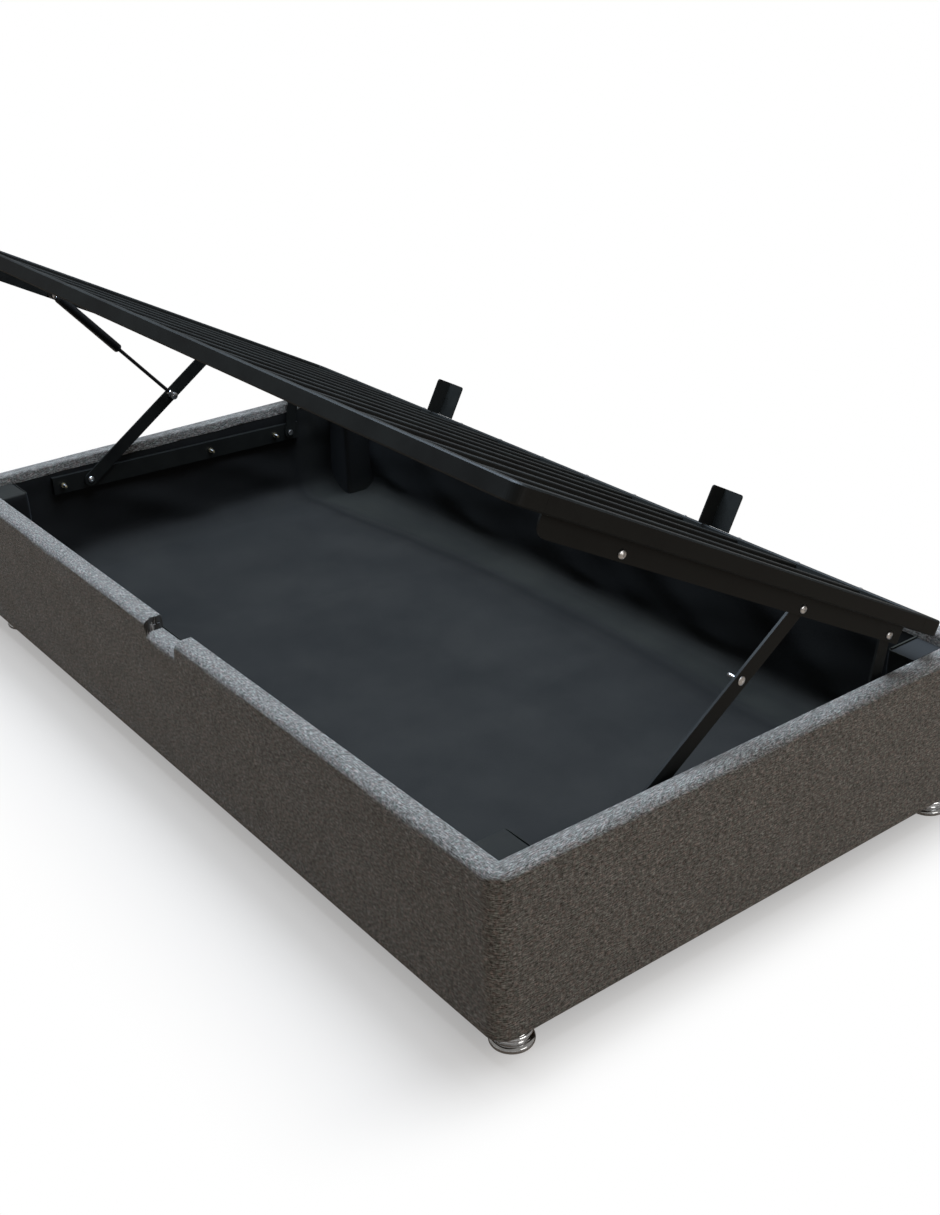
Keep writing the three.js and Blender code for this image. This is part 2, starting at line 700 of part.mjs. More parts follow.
function strutCylinder() {
  const bore = cylinderRadius - cylinderWall;
  const gland = cylinderEnd - cylinderEndWall;
  const tube = turnedY([
    [cylinderStart, 0], [cylinderStart, cylinderRadius - cylinderChamfer],
    [cylinderStart + cylinderChamfer, cylinderRadius], [cylinderEnd - cylinderChamfer, cylinderRadius],
    [cylinderEnd, cylinderRadius - cylinderChamfer], [cylinderEnd, rodRadius + pinClearance],
    [gland, rodRadius + pinClearance], [gland, bore], [cylinderStart + cylinderEndWall, bore],
    [cylinderStart + cylinderEndWall, 0],
  ]);
  const eye = new THREE.Shape();
  eye.absarc(0, 0, eyeRadius, 0, 2 * Math.PI);
  const hole = sideProfile(new THREE.Shape().absarc(0, 0, pinRadius + pinClearance, 0, 2 * Math.PI),
    -eyeWidth, eyeWidth);
  return combine(tube, { add: [sideProfile(eye, -eyeWidth / 2, eyeWidth / 2, round / 2)], cut: [hole] });
}

function strutRod(length) {
  const bore = cylinderRadius - cylinderWall - pinClearance;
  const rod = turnedY([
    [pistonStart, 0], [pistonStart, bore], [pistonStart + pistonLength, bore],
    [pistonStart + pistonLength, rodRadius], [length, rodRadius], [length, 0],
  ]);
  const socket = new THREE.Shape();
  socket.absarc(length, 0, socketRadius, 0, 2 * Math.PI);
  return combine(rod, { add: [sideProfile(socket, -socketWidth / 2, socketWidth / 2, round / 2)] });
}

function buildStrut() {
  const strut = hinged(model, pivotE.x, pivotE.y, toDegrees(strutVector.angle()));
  strut.position.x = -strutX;
  addPiece(strut, 'strut_cylinder', strutCylinder(), 'cylinder');
  addPiece(strut, 'strut_rod', strutRod(strutVector.length()), 'chrome');
}

buildBase();
buildLinkage();
buildPlatform();
buildStrut();

export default model;
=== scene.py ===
# %% [markdown]
# # Metal ottoman bed with its platform raised
# An upholstered storage base stands on chrome feet. A slatted black steel platform swings up over
# the hinge side on a linkage at each short end, helped by a gas strut at the left one. The solids
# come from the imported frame, and this file gives them cloth, metal, light and a camera. Sizes are
# in metres. X runs along the bed, Z is up from the floor, and the front, the wall with the hand
# notch, is at -Y.

# %% Load the frame
import json
import math

import bpy
import numpy as np
from mathutils import Matrix, Vector


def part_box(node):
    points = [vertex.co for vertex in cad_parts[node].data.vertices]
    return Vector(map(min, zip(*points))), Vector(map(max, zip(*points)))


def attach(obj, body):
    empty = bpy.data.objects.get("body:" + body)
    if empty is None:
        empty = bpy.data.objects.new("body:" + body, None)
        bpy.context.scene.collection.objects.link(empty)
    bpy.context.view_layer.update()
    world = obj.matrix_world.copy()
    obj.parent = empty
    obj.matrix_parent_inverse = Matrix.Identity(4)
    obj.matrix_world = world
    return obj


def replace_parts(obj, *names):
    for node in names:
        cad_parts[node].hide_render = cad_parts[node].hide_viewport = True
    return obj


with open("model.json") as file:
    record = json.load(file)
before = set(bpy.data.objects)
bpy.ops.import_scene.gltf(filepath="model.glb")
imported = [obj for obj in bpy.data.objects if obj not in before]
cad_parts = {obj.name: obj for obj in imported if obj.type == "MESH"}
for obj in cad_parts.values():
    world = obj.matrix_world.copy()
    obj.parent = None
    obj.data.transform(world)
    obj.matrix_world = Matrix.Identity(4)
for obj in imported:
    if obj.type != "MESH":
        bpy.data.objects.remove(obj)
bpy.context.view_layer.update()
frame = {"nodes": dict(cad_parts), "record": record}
scene = bpy.context.scene
scene.view_settings.view_transform = "Standard"
print("solids:", len(frame["nodes"]))

# %% [markdown]
# ## Main sizes
# These repeat the driving sizes of the solids, because a piece made here has to sit where its solid
# does. They could be read from the solids' boxes, but a named number says what it is.

# %% Sizes of the base
LENGTH, WIDTH, HEIGHT, FOOT = 2.080, 1.142, 0.311, 0.040
TOP = FOOT + HEIGHT
ENDS = ((-1, "left"), (1, "right"))
print("base:", LENGTH, "x", WIDTH, "with its rim at", TOP)

# %% [markdown]
# ## Camera
# The photograph looks down on the right front corner. A camera can be placed by eye, but then edges
# drift by many pixels. Here its place, its three angles and its focal length in pixels were fitted
# to the edges of the box, the platform and the pivots.

# %% Camera
AZIMUTH, ELEVATION, ROLL = 53.51, 26.22, -2.02
FOCAL_PIXELS, IMAGE_HEIGHT, SENSOR = 1558.0, 1215.0, 36.0
CAMERA_PLACE = (2.4947, -1.6729, 1.6896)


def aim(azimuth, elevation, roll):
    """Rotation whose columns are right, up and back: back = (sin a cos e, -cos a cos e, sin e)."""
    a, e, r = map(math.radians, (azimuth, elevation, roll))
    back = Vector((math.sin(a) * math.cos(e), -math.cos(a) * math.cos(e), math.sin(e)))
    right = Vector((math.cos(a), math.sin(a), 0.0))
    up = back.cross(right)
    across = right * math.cos(r) + up * math.sin(r)
    upward = up * math.cos(r) - right * math.sin(r)
    return Matrix((across, upward, back)).transposed()


camera_data = bpy.data.cameras.new("camera")
camera_data.sensor_width = SENSOR
camera_data.lens = SENSOR * FOCAL_PIXELS / IMAGE_HEIGHT
camera = bpy.data.objects.new("camera", camera_data)
camera.matrix_world = Matrix.Translation(CAMERA_PLACE) @ aim(AZIMUTH, ELEVATION, ROLL).to_4x4()
scene.collection.objects.link(camera)
scene.camera = camera
print("lens:", round(camera_data.lens, 2), "mm")

# %% [markdown]
# ## Lamps
# The light in the photograph is soft and comes from above, so the rim is light and cool and the
# walls stay dark and warm. Small lamps would draw hard shadows. One large cool rectangle high over
# the bed gives the soft ones, and a weak warm lamp lifts the right end wall.

# %% Lamps
def area_light(name, location, target, size, power, color):
    """A rectangular lamp of the given size that points from location to target."""
    data = bpy.data.lights.new(name, "AREA")
    data.shape = "RECTANGLE"
    data.size, data.size_y = size
    data.energy = power
    data.color = color
    lamp = bpy.data.objects.new(name, data)
    lamp.location = location
    lamp.rotation_euler = (Vector(target) - Vector(location)).to_track_quat("-Z", "Y").to_euler()
    scene.collection.objects.link(lamp)


area_light("overhead", (-0.38, 0.4, 4.2), (-0.15, 0.0, 0.0), (3.3, 2.4), 508.0, (0.69, 0.83, 1.0))
area_light("end_fill", (4.2, 0.4, 1.2), (0.8, 0.0, 0.1), (1.8, 1.2), 20.0, (1.0, 0.97, 0.93))
print("lamps:", ", ".join(f"{lamp.name} {lamp.energy:.0f} W" for lamp in bpy.data.lights))

# %% [markdown]
# ## Short words for shader nodes
# Every finish here is a network of shader nodes. A node written out in full takes about five lines,
# so these helpers make one each. An input is a plain value, or the output of another node.

# %% Node helpers
def node(tree, kind, inputs=None, **settings):
    """A shader node of one kind: its settings are made, then its inputs get values or links."""
    made = tree.nodes.new("ShaderNode" + kind)
    for name, value in settings.items():
        setattr(made, name, value)
    for socket, value in (inputs or {}).items():
        if hasattr(value, "is_output"):
            tree.links.new(value, made.inputs[socket])
        else:
            made.inputs[socket].default_value = value
    return made


def calc(tree, operation, *values):
    """The result of a Math node on one to three values."""
    return node(tree, "Math", dict(enumerate(values)), operation=operation).outputs[0]


def noise(tree, vector, scale, detail, roughness=0.5):
    """Soft noise of the given scale, with detail octaves that fade by roughness."""
    return node(tree, "TexNoise", {"Vector": vector, "Scale": scale, "Detail": detail,
                                   "Roughness": roughness}).outputs["Fac"]


def ramp(tree, value, stops, interpolation="LINEAR"):
    """A colour ramp through stops of (position, colour), where one number stands for a grey."""
    made = node(tree, "ValToRGB", {"Fac": value})
    made.color_ramp.interpolation = interpolation
    elements = made.color_ramp.elements
    while len(elements) < len(stops):
        elements.new(0.5)
    for element, (position, color) in zip(elements, stops):
        element.position = position
        element.color = (*(color if isinstance(color, tuple) else (color,) * 3), 1.0)
    return made.outputs["Color"]


def mix(tree, blend, factor, *colors):
    """Two colours, each an output or three numbers, mixed by a blend mode."""
    a, b = (color if hasattr(color, "is_output") else (*color, 1.0) for color in colors)
    return node(tree, "Mix", {0: factor, 6: a, 7: b}, data_type="RGBA", blend_type=blend).outputs[2]


def bump(tree, height, strength, distance):
    """A normal tilted by the slope of a height."""
    return node(tree, "Bump", {"Strength": strength, "Distance": distance,
                               "Height": height}).outputs["Normal"]


# %% Material helpers
def new_material(name, color, roughness, metallic=0.0, specular=0.5):
    """A material with one Principled shader; returns it with its node tree and that shader."""
    material = bpy.data.materials.new(name)
    material.use_nodes = True
    shader = material.node_tree.nodes["Principled BSDF"]
    for socket, value in (("Base Color", (*color, 1.0)), ("Roughness", roughness),
                          ("Metallic", metallic), ("Specular IOR Level", specular)):
        shader.inputs[socket].default_value = value
    return material, material.node_tree, shader


def feed(target, **outputs):
    """Links outputs to the inputs they are named for, such as Base_Color to Base Color."""
    for name, output in outputs.items():
        target.id_data.links.new(output, target.inputs[name.replace("_", " ")])


# %% [markdown]
# ## Background
# The photograph's background is plain white. A world as white as that would flood the bed with
# light, so only the camera sees the white, and the bed gets a faint warm glow.

# %% World
world = bpy.data.worlds.new("world")
world.use_nodes = True
scene.world = world
sky = world.node_tree
sky.nodes.clear()
white_sky = node(sky, "Background", {"Color": (1.0, 1.0, 1.0, 1.0), "Strength": 1.0}).outputs[0]
faint_sky = node(sky, "Background", {"Color": (1.0, 0.96, 0.91, 1.0), "Strength": 0.23}).outputs[0]
to_camera = node(sky, "LightPath").outputs["Is Camera Ray"]
shown_sky = node(sky, "MixShader", {0: to_camera, 1: faint_sky, 2: white_sky}).outputs[0]
node(sky, "OutputWorld", {"Surface": shown_sky})
print("world:", len(sky.nodes), "nodes")

# %% [markdown]
# ## Floor
# The floor takes the bed's soft shadow. One plain colour can't serve every ray: the camera and the
# chrome feet, whose mirrored rays are short, have to see a pale warm grey that cancels the cool
# lamp, while the walls get less light from the floor than such a grey sends up. So the tone goes
# by the kind of ray.

# %% Floor colour
FLOOR_HALF, MIRROR_REACH = 30.0, 0.35
FLOOR_DARK, FLOOR_PALE = (0.22, 0.165, 0.12), (0.47, 0.41, 0.36)
floor_material, tree, shader = new_material("pale_floor", FLOOR_PALE, 0.7, specular=0.2)
ray = node(tree, "LightPath").outputs
near = calc(tree, "LESS_THAN", ray["Ray Length"], MIRROR_REACH)
mirrored_near = calc(tree, "MULTIPLY", near, ray["Is Glossy Ray"])
pale = calc(tree, "MAXIMUM", mirrored_near, ray["Is Camera Ray"])
feed(shader, Base_Color=mix(tree, "MIX", pale, FLOOR_DARK, FLOOR_PALE))
print("floor tones:", FLOOR_DARK, "for the walls,", FLOOR_PALE, "for the camera")

# %% [markdown]
# The shadow in the photograph is pale and ends in pure white. The floor can't be lit that bright
# without spoiling the bed, so for the camera alone it is blended with plain white. The share grows
# with the distance in plan from the footprint: d = |max(|p| - half, 0) * (2.05, 1)|, with half a
# little inside the walls.

# %% Floor fade
FADE_HALF, FADE_STRETCH = (LENGTH / 2 - 0.095, WIDTH / 2 - 0.055, 0.0), (2.05, 1.0, 1.0)
FADE_REACH, FADE_WHITE = 0.52, 0.80  # length of the fade, and the share of it where white is full
FADE = [(0.0, 0.0), (0.015, 0.37), (0.10, 0.39), (0.30, 0.42), (0.58, 0.79), (FADE_WHITE, 1.0),
        (1.0, 1.0)]
away = node(tree, "TexCoord").outputs["Object"]
for operation, other in (("ABSOLUTE", None), ("SUBTRACT", FADE_HALF),
                         ("MAXIMUM", (0.0, 0.0, 0.0)), ("MULTIPLY", FADE_STRETCH)):
    inputs = {0: away} if other is None else {0: away, 1: other}
    away = node(tree, "VectorMath", inputs, operation=operation).outputs["Vector"]
distance = node(tree, "VectorMath", {0: away}, operation="LENGTH").outputs["Value"]
share = ramp(tree, calc(tree, "DIVIDE", distance, FADE_REACH), FADE, "B_SPLINE")
share = calc(tree, "MULTIPLY", share, ray["Is Camera Ray"])
white = node(tree, "Emission", {"Color": (1.0, 1.0, 1.0, 1.0), "Strength": 1.0}).outputs[0]
faded = node(tree, "MixShader", {0: share, 1: shader.outputs[0], 2: white}).outputs[0]
feed(tree.nodes["Material Output"], Surface=faded)

floor_mesh = bpy.data.meshes.new("floor")
floor_corners = [(x * FLOOR_HALF, y * FLOOR_HALF, 0)
                 for x, y in ((-1, -1), (1, -1), (1, 1), (-1, 1))]
floor_mesh.from_pydata(floor_corners, [], [(0, 1, 2, 3)])
floor_mesh.materials.append(floor_material)
floor = bpy.data.objects.new("floor", floor_mesh)
scene.collection.objects.link(floor)
print("floor:", 2 * FLOOR_HALF, "m wide, white from", round(FADE_WHITE * FADE_REACH, 3), "m out")

# %% [markdown]
# ## Groups for shared effects
# A weave, a grain or a coat is one effect in more than one place. It is built once as a node group
# that gives only colours, values and heights. The shader stays in each material, with its constant
# values on its own sockets, so that they survive an export.

# %% Group helper
def group(name, inputs, outputs):
    """An empty node group with (label, kind) sockets; returns it, its inputs and its end node."""
    tree = bpy.data.node_groups.new(name, "ShaderNodeTree")
    for direction, sockets in (("INPUT", inputs), ("OUTPUT", outputs)):
        for label, kind in sockets:
            tree.interface.new_socket(label, in_out=direction, socket_type="NodeSocket" + kind)
    return tree, tree.nodes.new("NodeGroupInput").outputs, tree.nodes.new("NodeGroupOutput")


# %% [markdown]
# ### Woven cloth
# The cover is a marled weave: brown, grey and near-black yarns cross at about 1.4 mm, with light
# flecks along the wall. A picture of cloth would tile and fix its scale. Here crossed sine ridges
# give the weave, and noise stretched along one direction or the other gives the yarns.

# %% Cloth weave group
def weave_group():
    """Colour and height of a plain weave: height = half the product of crossed sine ridges."""
    tree, given, result = group("marl_weave", [("UV", "Vector"), ("Pitch", "Float")],
                                [("Color", "Color"), ("Height", "Float")])
    uv = given["UV"]
    split = node(tree, "SeparateXYZ", {0: uv}).outputs
    turns = [calc(tree, "MULTIPLY", split[axis], given["Pitch"]) for axis in (0, 1)]
    crossed = [calc(tree, "SINE", calc(tree, "MULTIPLY", turn, math.tau)) for turn in turns]
    height = calc(tree, "MULTIPLY_ADD", calc(tree, "MULTIPLY", *crossed), 0.5, 0.5)
    yarns = []
    for squeeze in ((100.0, 440.0, 1.0), (290.0, 135.0, 1.0), (165.0, 560.0, 1.0)):
        along = node(tree, "Mapping", {"Vector": uv, "Scale": squeeze}).outputs["Vector"]
        yarns.append(noise(tree, along, 1.0, 2.0, 0.6))
    tints = [ramp(tree, yarn, [(0.36, (0.034, 0.030, 0.026)), (0.46, (0.112, 0.103, 0.092)),
                               (0.55, (0.197, 0.184, 0.169)), (0.66, (0.43, 0.41, 0.38))])
             for yarn in yarns[:2]]
    color = mix(tree, "MIX", 0.33, *tints)
    fleck = calc(tree, "MULTIPLY", ramp(tree, yarns[2], [(0.60, 0.0), (0.68, 1.0)]), 0.65)
    color = mix(tree, "MIX", fleck, color, (0.44, 0.42, 0.40))
    hue = ramp(tree, noise(tree, uv, 130.0, 3.0, 0.7), [
        (0.36, (1.13, 0.96, 0.93)), (0.5, 1.0), (0.64, (0.92, 1.03, 0.99))])
    patches = ramp(tree, noise(tree, uv, 22.0, 6.0, 0.7), [(0.3, 0.80), (0.7, 1.2)])
    color = mix(tree, "MULTIPLY", 1.0, mix(tree, "MULTIPLY", 1.0, color, hue), patches)
    height = calc(tree, "ADD", height, noise(tree, uv, 1900.0, 2.0, 0.6))
    feed(result, Color=color, Height=calc(tree, "ADD", height, yarns[0]))
    return tree


WEAVE, WEAVE_PITCH = weave_group(), 700.0
print("weave:", len(WEAVE.nodes), "nodes,", round(1000 / WEAVE_PITCH, 2), "mm from ridge to ridge")


def set_sheen(shader, weight, roughness, tint):
    """The soft gleam of loose fibres at grazing angles."""
    shader.inputs["Sheen Weight"].default_value = weight
    shader.inputs["Sheen Roughness"].default_value = roughness
    shader.inputs["Sheen Tint"].default_value = (*tint, 1.0)


def cloth_material(name):
    """Marled upholstery cloth on UVs in metres, with a soft sheen for its fuzz."""
    material, tree, shader = new_material(name, (0.1, 0.09, 0.08), 0.95, specular=0.15)
    uv = node(tree, "UVMap", uv_map="metres").outputs["UV"]
    weave = node(tree, "Group", {"UV": uv, "Pitch": WEAVE_PITCH}, node_tree=WEAVE).outputs
    feed(shader, Base_Color=weave["Color"], Normal=bump(tree, weave["Height"], 0.55, 0.0007))
    set_sheen(shader, 0.22, 0.45, (0.96, 0.97, 1.0))
    return material


# %% [markdown]
# ### Lining and felt
# The well is lined with a thin black non-woven cloth, and the posts with a like one, made lighter
# there, which paints the light on the post tops. It has a fine embossed grain and cloudy wear. A
# woven pattern would be wrong, so cells and noise give the grain, and slow noise drifts the colour
# between two near-blacks.

# %% Non-woven cloth
def grain_group():
    """Cloudy colour factor and fine height: height = distance to the nearest cell plus noise."""
    tree, given, result = group("felt_grain", [("Vector", "Vector")],
                                [("Cloud", "Float"), ("Height", "Float")])
    cells = node(tree, "TexVoronoi", {"Vector": given["Vector"], "Scale": 520.0}).outputs
    height = calc(tree, "ADD", cells["Distance"], noise(tree, given["Vector"], 240.0, 3.0))
    feed(result, Cloud=noise(tree, given["Vector"], 5.0, 5.0, 0.6), Height=height)
    return tree


GRAIN = grain_group()
print("grain:", len(GRAIN.nodes), "nodes")


def felt_material(name, dark, light, roughness, sheen):
    """Felted cloth whose colour drifts between dark and light."""
    material, tree, shader = new_material(name, dark, roughness, specular=0.2)
    place = node(tree, "TexCoord").outputs["Object"]
    grain = node(tree, "Group", {"Vector": place}, node_tree=GRAIN).outputs
    feed(shader, Base_Color=ramp(tree, grain["Cloud"], [(0.3, dark), (0.72, light)]),
         Normal=bump(tree, grain["Height"], 0.35, 0.0004))
    set_sheen(shader, sheen, 0.5, (0.72, 0.80, 0.90))
    return material


# %% [markdown]
# A long crease runs along the hinge side of the real lining, and the cloth behind it is lighter.
# Folds alone are too faint to show that in soft light, so a ramp across the crease's own line
# paints the crease's shade into the cloth's colour and lightens the strip behind it. A second ramp,
# up the walls, paints shade on them below the post tops and paints the post tops lighter, as lit.

# %% Tints of the lining
CREASE_Y, CREASE_BEND, CREASE_X = 0.421, 0.08, 0.05


def paint_crease_and_wall_shade(material):
    """Paints shade and light into the lining's colour.

    A dark crease with a lighter strip behind it follows the distance behind the crease
    y = 0.421 - 0.08 (x - 0.05)^2. By height, shade darkens the walls and the post tops are lighter.
    """
    tree = material.node_tree
    shader = tree.nodes["Principled BSDF"]
    place = node(tree, "TexCoord").outputs["Object"]
    x, y, z = node(tree, "SeparateXYZ", {0: place}).outputs
    off = calc(tree, "SUBTRACT", x, CREASE_X)
    bend = calc(tree, "MULTIPLY", calc(tree, "MULTIPLY", off, off), CREASE_BEND)
    wander = calc(tree, "MULTIPLY", noise(tree, place, 4.0, 3.0), 0.03)
    behind = calc(tree, "ADD", calc(tree, "ADD", y, bend), wander)
    behind = calc(tree, "SUBTRACT", behind, CREASE_Y + 0.015 - 0.1)
    # Painted shade: a dark line along the crease in the colour, and a lighter strip behind it.
    crease = ramp(tree, calc(tree, "MULTIPLY", behind, 5.0), [
        (0.30, 1.0), (0.42, (0.80, 0.78, 0.76)), (0.50, (0.36, 0.35, 0.33)),
        (0.57, (1.0, 1.02, 0.96)), (0.72, (1.26, 1.34, 1.18)), (1.0, (1.15, 1.2, 1.1))])
    # Painted shade and light: walls darkened above the floor up to the post tops, the tops painted
    # lighter.
    wall = ramp(tree, calc(tree, "MULTIPLY", z, 2.5), [
        (0.2075, 1.0), (0.3125, 0.3), (0.8100, 0.3), (0.8130, (1.35, 1.35, 1.2))])
    crease_shaded = mix(tree, "MULTIPLY", 1.0, shader.inputs["Base Color"].links[0].from_socket, crease)
    feed(shader, Base_Color=mix(tree, "MULTIPLY", 1.0, crease_shaded, wall))


# %% [markdown]
# ### Pine boards
# The walls are boards under the cloth, seen only where it is lifted. A picture of wood isn't worth
# it there: noise stretched along the boards is enough for their grain.

# %% Board
def board_material(name):
    """Plain pine: noise squeezed 26 times across the grain gives streaks."""
    material, tree, shader = new_material(name, (0.5, 0.36, 0.22), 0.75)
    place = node(tree, "TexCoord").outputs["Object"]
    along = node(tree, "Mapping", {"Vector": place, "Scale": (1.5, 1.5, 26.0)}).outputs["Vector"]
    grain = noise(tree, along, 3.0, 6.0, 0.6)
    streaks = ramp(tree, grain, [(0.35, (0.34, 0.22, 0.12)), (0.65, (0.62, 0.46, 0.29))])
    feed(shader, Base_Color=streaks, Normal=bump(tree, grain, 0.3, 0.0005))
    return material


# %% [markdown]
# ### Metals
# The steel has a thin satin powder coat with a fine orange-peel surface and lighter worn patches.
# The small parts are zinc, yellow zinc or chrome plate. One roughness for all of a surface looks
# like plastic, so slow noise drifts both colour and roughness, and fine noise breaks the gloss.

# %% Coated steel
def coat_group():
    """Orange-peel height and a slow wear factor for powder coat."""
    tree, given, result = group("powder_coat", [("Vector", "Vector")],
                                [("Wear", "Float"), ("Height", "Float")])
    feed(result, Wear=noise(tree, given["Vector"], 9.0, 6.0, 0.65),
         Height=noise(tree, given["Vector"], 420.0, 2.0))
    return tree


COAT = coat_group()
print("coat:", len(COAT.nodes), "nodes")


def coated_steel(name, dark, light, rough_low, rough_high, peel=0.12):
    """Powder-coated steel: colour and roughness drift with wear."""
    material, tree, shader = new_material(name, dark, rough_low, specular=0.2)
    place = node(tree, "TexCoord").outputs["Object"]
    coat = node(tree, "Group", {"Vector": place}, node_tree=COAT).outputs
    spread = node(tree, "MapRange", {"Value": coat["Wear"], "From Min": 0.3, "From Max": 0.7,
                                     "To Min": rough_low, "To Max": rough_high}).outputs["Result"]
    feed(shader, Base_Color=ramp(tree, coat["Wear"], [(0.35, dark), (0.7, light)]),
         Roughness=spread, Normal=bump(tree, coat["Height"], peel, 0.0002))
    return material


# %% Plated metal
def plated(name, light, dark, roughness, scale=60.0):
    """Plated metal with faint cloudy staining and fine scratches."""
    material, tree, shader = new_material(name, light, roughness, metallic=1.0)
    place = node(tree, "TexCoord").outputs["Object"]
    stain = ramp(tree, noise(tree, place, scale, 4.0, 0.6), [(0.3, dark), (0.6, light)])
    fine = noise(tree, place, scale * 14.0, 3.0)
    feed(shader, Base_Color=stain, Normal=bump(tree, fine, 0.05, 0.0001))
    return material


# %% Finishes
CLOTH = cloth_material("marled_cloth")
LINING_CLOTH = felt_material("black_lining", (0.0052, 0.0050, 0.0044), (0.0130, 0.0122, 0.0106),
                             0.78, 0.05)
paint_crease_and_wall_shade(LINING_CLOTH)
# Painted shade: a darker cloth for the notch's steep side, with the darker cloth of its tuck.
TUCKED_SHADE_CLOTH = felt_material("tucked_shade_cloth", (0.018, 0.016, 0.014), (0.060, 0.054, 0.048), 0.9, 0.10)
# Painted light: the post felt is the lining's cloth made lighter, for the light on the post tops.
LIT_POST_FELT = felt_material("lit_post_felt", (0.0100, 0.0100, 0.0096), (0.0170, 0.0168, 0.0162), 0.85, 0.09)
BOARD = board_material("pine_board")
STEEL = coated_steel("black_steel", (0.0044, 0.0048, 0.0047), (0.0100, 0.0108, 0.0096), 0.46, 0.60)
STRUT = coated_steel("strut_paint", (0.0045, 0.0045, 0.005), (0.009, 0.009, 0.009), 0.28, 0.4, 0.04)
CHROME = plated("chrome_plate", (0.86, 0.87, 0.88), (0.70, 0.71, 0.72), 0.06)
ZINC = plated("bright_zinc", (0.74, 0.74, 0.75), (0.52, 0.52, 0.53), 0.28)
BRASS = plated("yellow_zinc", (0.98, 0.86, 0.58), (0.80, 0.64, 0.36), 0.3)
ROD = plated("dark_rod", (0.11, 0.11, 0.115), (0.06, 0.06, 0.065), 0.2)
print("finishes:", ", ".join(finish.name for finish in (
    CLOTH, LINING_CLOTH, TUCKED_SHADE_CLOTH, LIT_POST_FELT, BOARD, STEEL, STRUT, CHROME, ZINC, BRASS, ROD)))

# %% [markdown]
# ## Building surfaces from numbers
# Blender's own primitives would each need moving and cutting. Here a piece is a grid of points from
# a formula, worked out as whole arrays, and closed into a body whose faces point out. Its place is
# in its mesh, so a pattern on Object coordinates stays put.

# %% Mesh helpers
def mesh_object(name, points, faces, material, smooth=True, uv=None, sharp=None):
    """A mesh object at the origin from an (n, 3) array and face index lists."""
    mesh = bpy.data.meshes.new(name)
    mesh.from_pydata(np.asarray(points, dtype=float).tolist(), [], faces)
    mesh.validate()
    mesh.materials.append(material)
    if smooth:
        mesh.polygons.foreach_set("use_smooth", np.ones(len(mesh.polygons), dtype=bool))
        if sharp is not None:
            mesh.set_sharp_from_angle(angle=math.radians(sharp))
    if uv is not None:
        layer = mesh.uv_layers.new(name="metres")
        loops = np.empty(len(mesh.loops), dtype=np.int32)
        mesh.loops.foreach_get("vertex_index", loops)
        layer.data.foreach_set("uv", np.asarray(uv, dtype=np.float32)[loops].ravel())
    mesh.update()
    piece = bpy.data.objects.new(name, mesh)
    scene.collection.objects.link(piece)
    return piece


def grid_faces(rows, columns, wrap_rows=False, wrap_columns=False):
    """Quads over a rows x columns grid of points, closed along either direction if asked."""
    i = np.arange(rows if wrap_rows else rows - 1)
    j = np.arange(columns if wrap_columns else columns - 1)
    i, j = np.meshgrid(i, j, indexing="ij")
    i2, j2 = (i + 1) % rows, (j + 1) % columns
    corners = [i * columns + j, i2 * columns + j, i2 * columns + j2, i * columns + j2]
    return np.stack(corners, axis=-1).reshape(-1, 4)


# %% [markdown]
# Feet, pins, rivets and the strut are round, as from a lathe. A Screw or Spin modifier could turn
# them, but may leave them inside out. The turning is one formula here: a ring of each profile
# radius, at its distance along the axis, and a fan over each end.

# %% Turned bodies
def turned(name, profile, origin, axis, material, segments=48, sharp=35):
    """A turned body: the profile of (distance, radius) runs from one end of the axis to the other.

    Each point is origin + distance * axis + radius * (cos t side + sin t other).
    """
    axis, origin = Vector(axis).normalized(), np.asarray(origin)
    side = axis.orthogonal().normalized()
    other = axis.cross(side)
    axis = np.asarray(axis)
    d, r = np.asarray(profile, dtype=float).T
    t = np.linspace(0, math.tau, segments, endpoint=False)
    ring = np.outer(np.cos(t), side) + np.outer(np.sin(t), other)
    wall = (origin + d[:, None, None] * axis + r[:, None, None] * ring[None, :, :]).reshape(-1, 3)
    points = np.vstack([wall, origin + d[0] * axis, origin + d[-1] * axis])
    this = np.arange(segments)
    following = (this + 1) % segments
    last_ring = len(wall) - segments
    first_fan = np.stack([np.full(segments, len(wall)), following, this], axis=1)
    last_fan = np.stack([np.full(segments, len(wall) + 1), last_ring + this, last_ring + following],
                        axis=1)
    quads = grid_faces(len(d), segments, wrap_columns=True)[:, ::-1]
    faces = quads.tolist() + first_fan.tolist() + last_fan.tolist()
    return mesh_object(name, points, faces, material, sharp=sharp)


def join_objects(name, objects):
    """Joins pieces that belong to one part into the first of them."""
    bpy.ops.object.select_all(action="DESELECT")
    for piece in objects:
        piece.select_set(True)
    bpy.context.view_layer.objects.active = objects[0]
    bpy.ops.object.join()
    objects[0].name = name
    return objects[0]


# %% [markdown]
# ## Upholstered cover
# The cover is one band of cloth over thin foam. Its section runs up the outer face, over a soft
# edge, across the rim and 24 mm down the inside, and then back at cloth thickness. It could be a
# box with bevels, but then the cloth would not follow the rim. Sweeping one closed section round
# the rounded rectangle of the base gives the cloth its true run, which its weave follows.

# %% Cover sizes and section
COVER, FLAP, TURN = 0.006, 0.003, 0.006  # cloth with its foam, flap under the base, tight turns
RIM, LIP_DROP, EDGE = 0.041, 0.024, 0.018  # width of the rim, its inner lip, its soft outer edge
BOARD_INSET = 0.038


def quarter(steps):
    """Pairs of sine and cosine over a quarter turn."""
    angles = np.linspace(0, math.pi / 2, steps)
    return list(zip(np.sin(angles), np.cos(angles)))


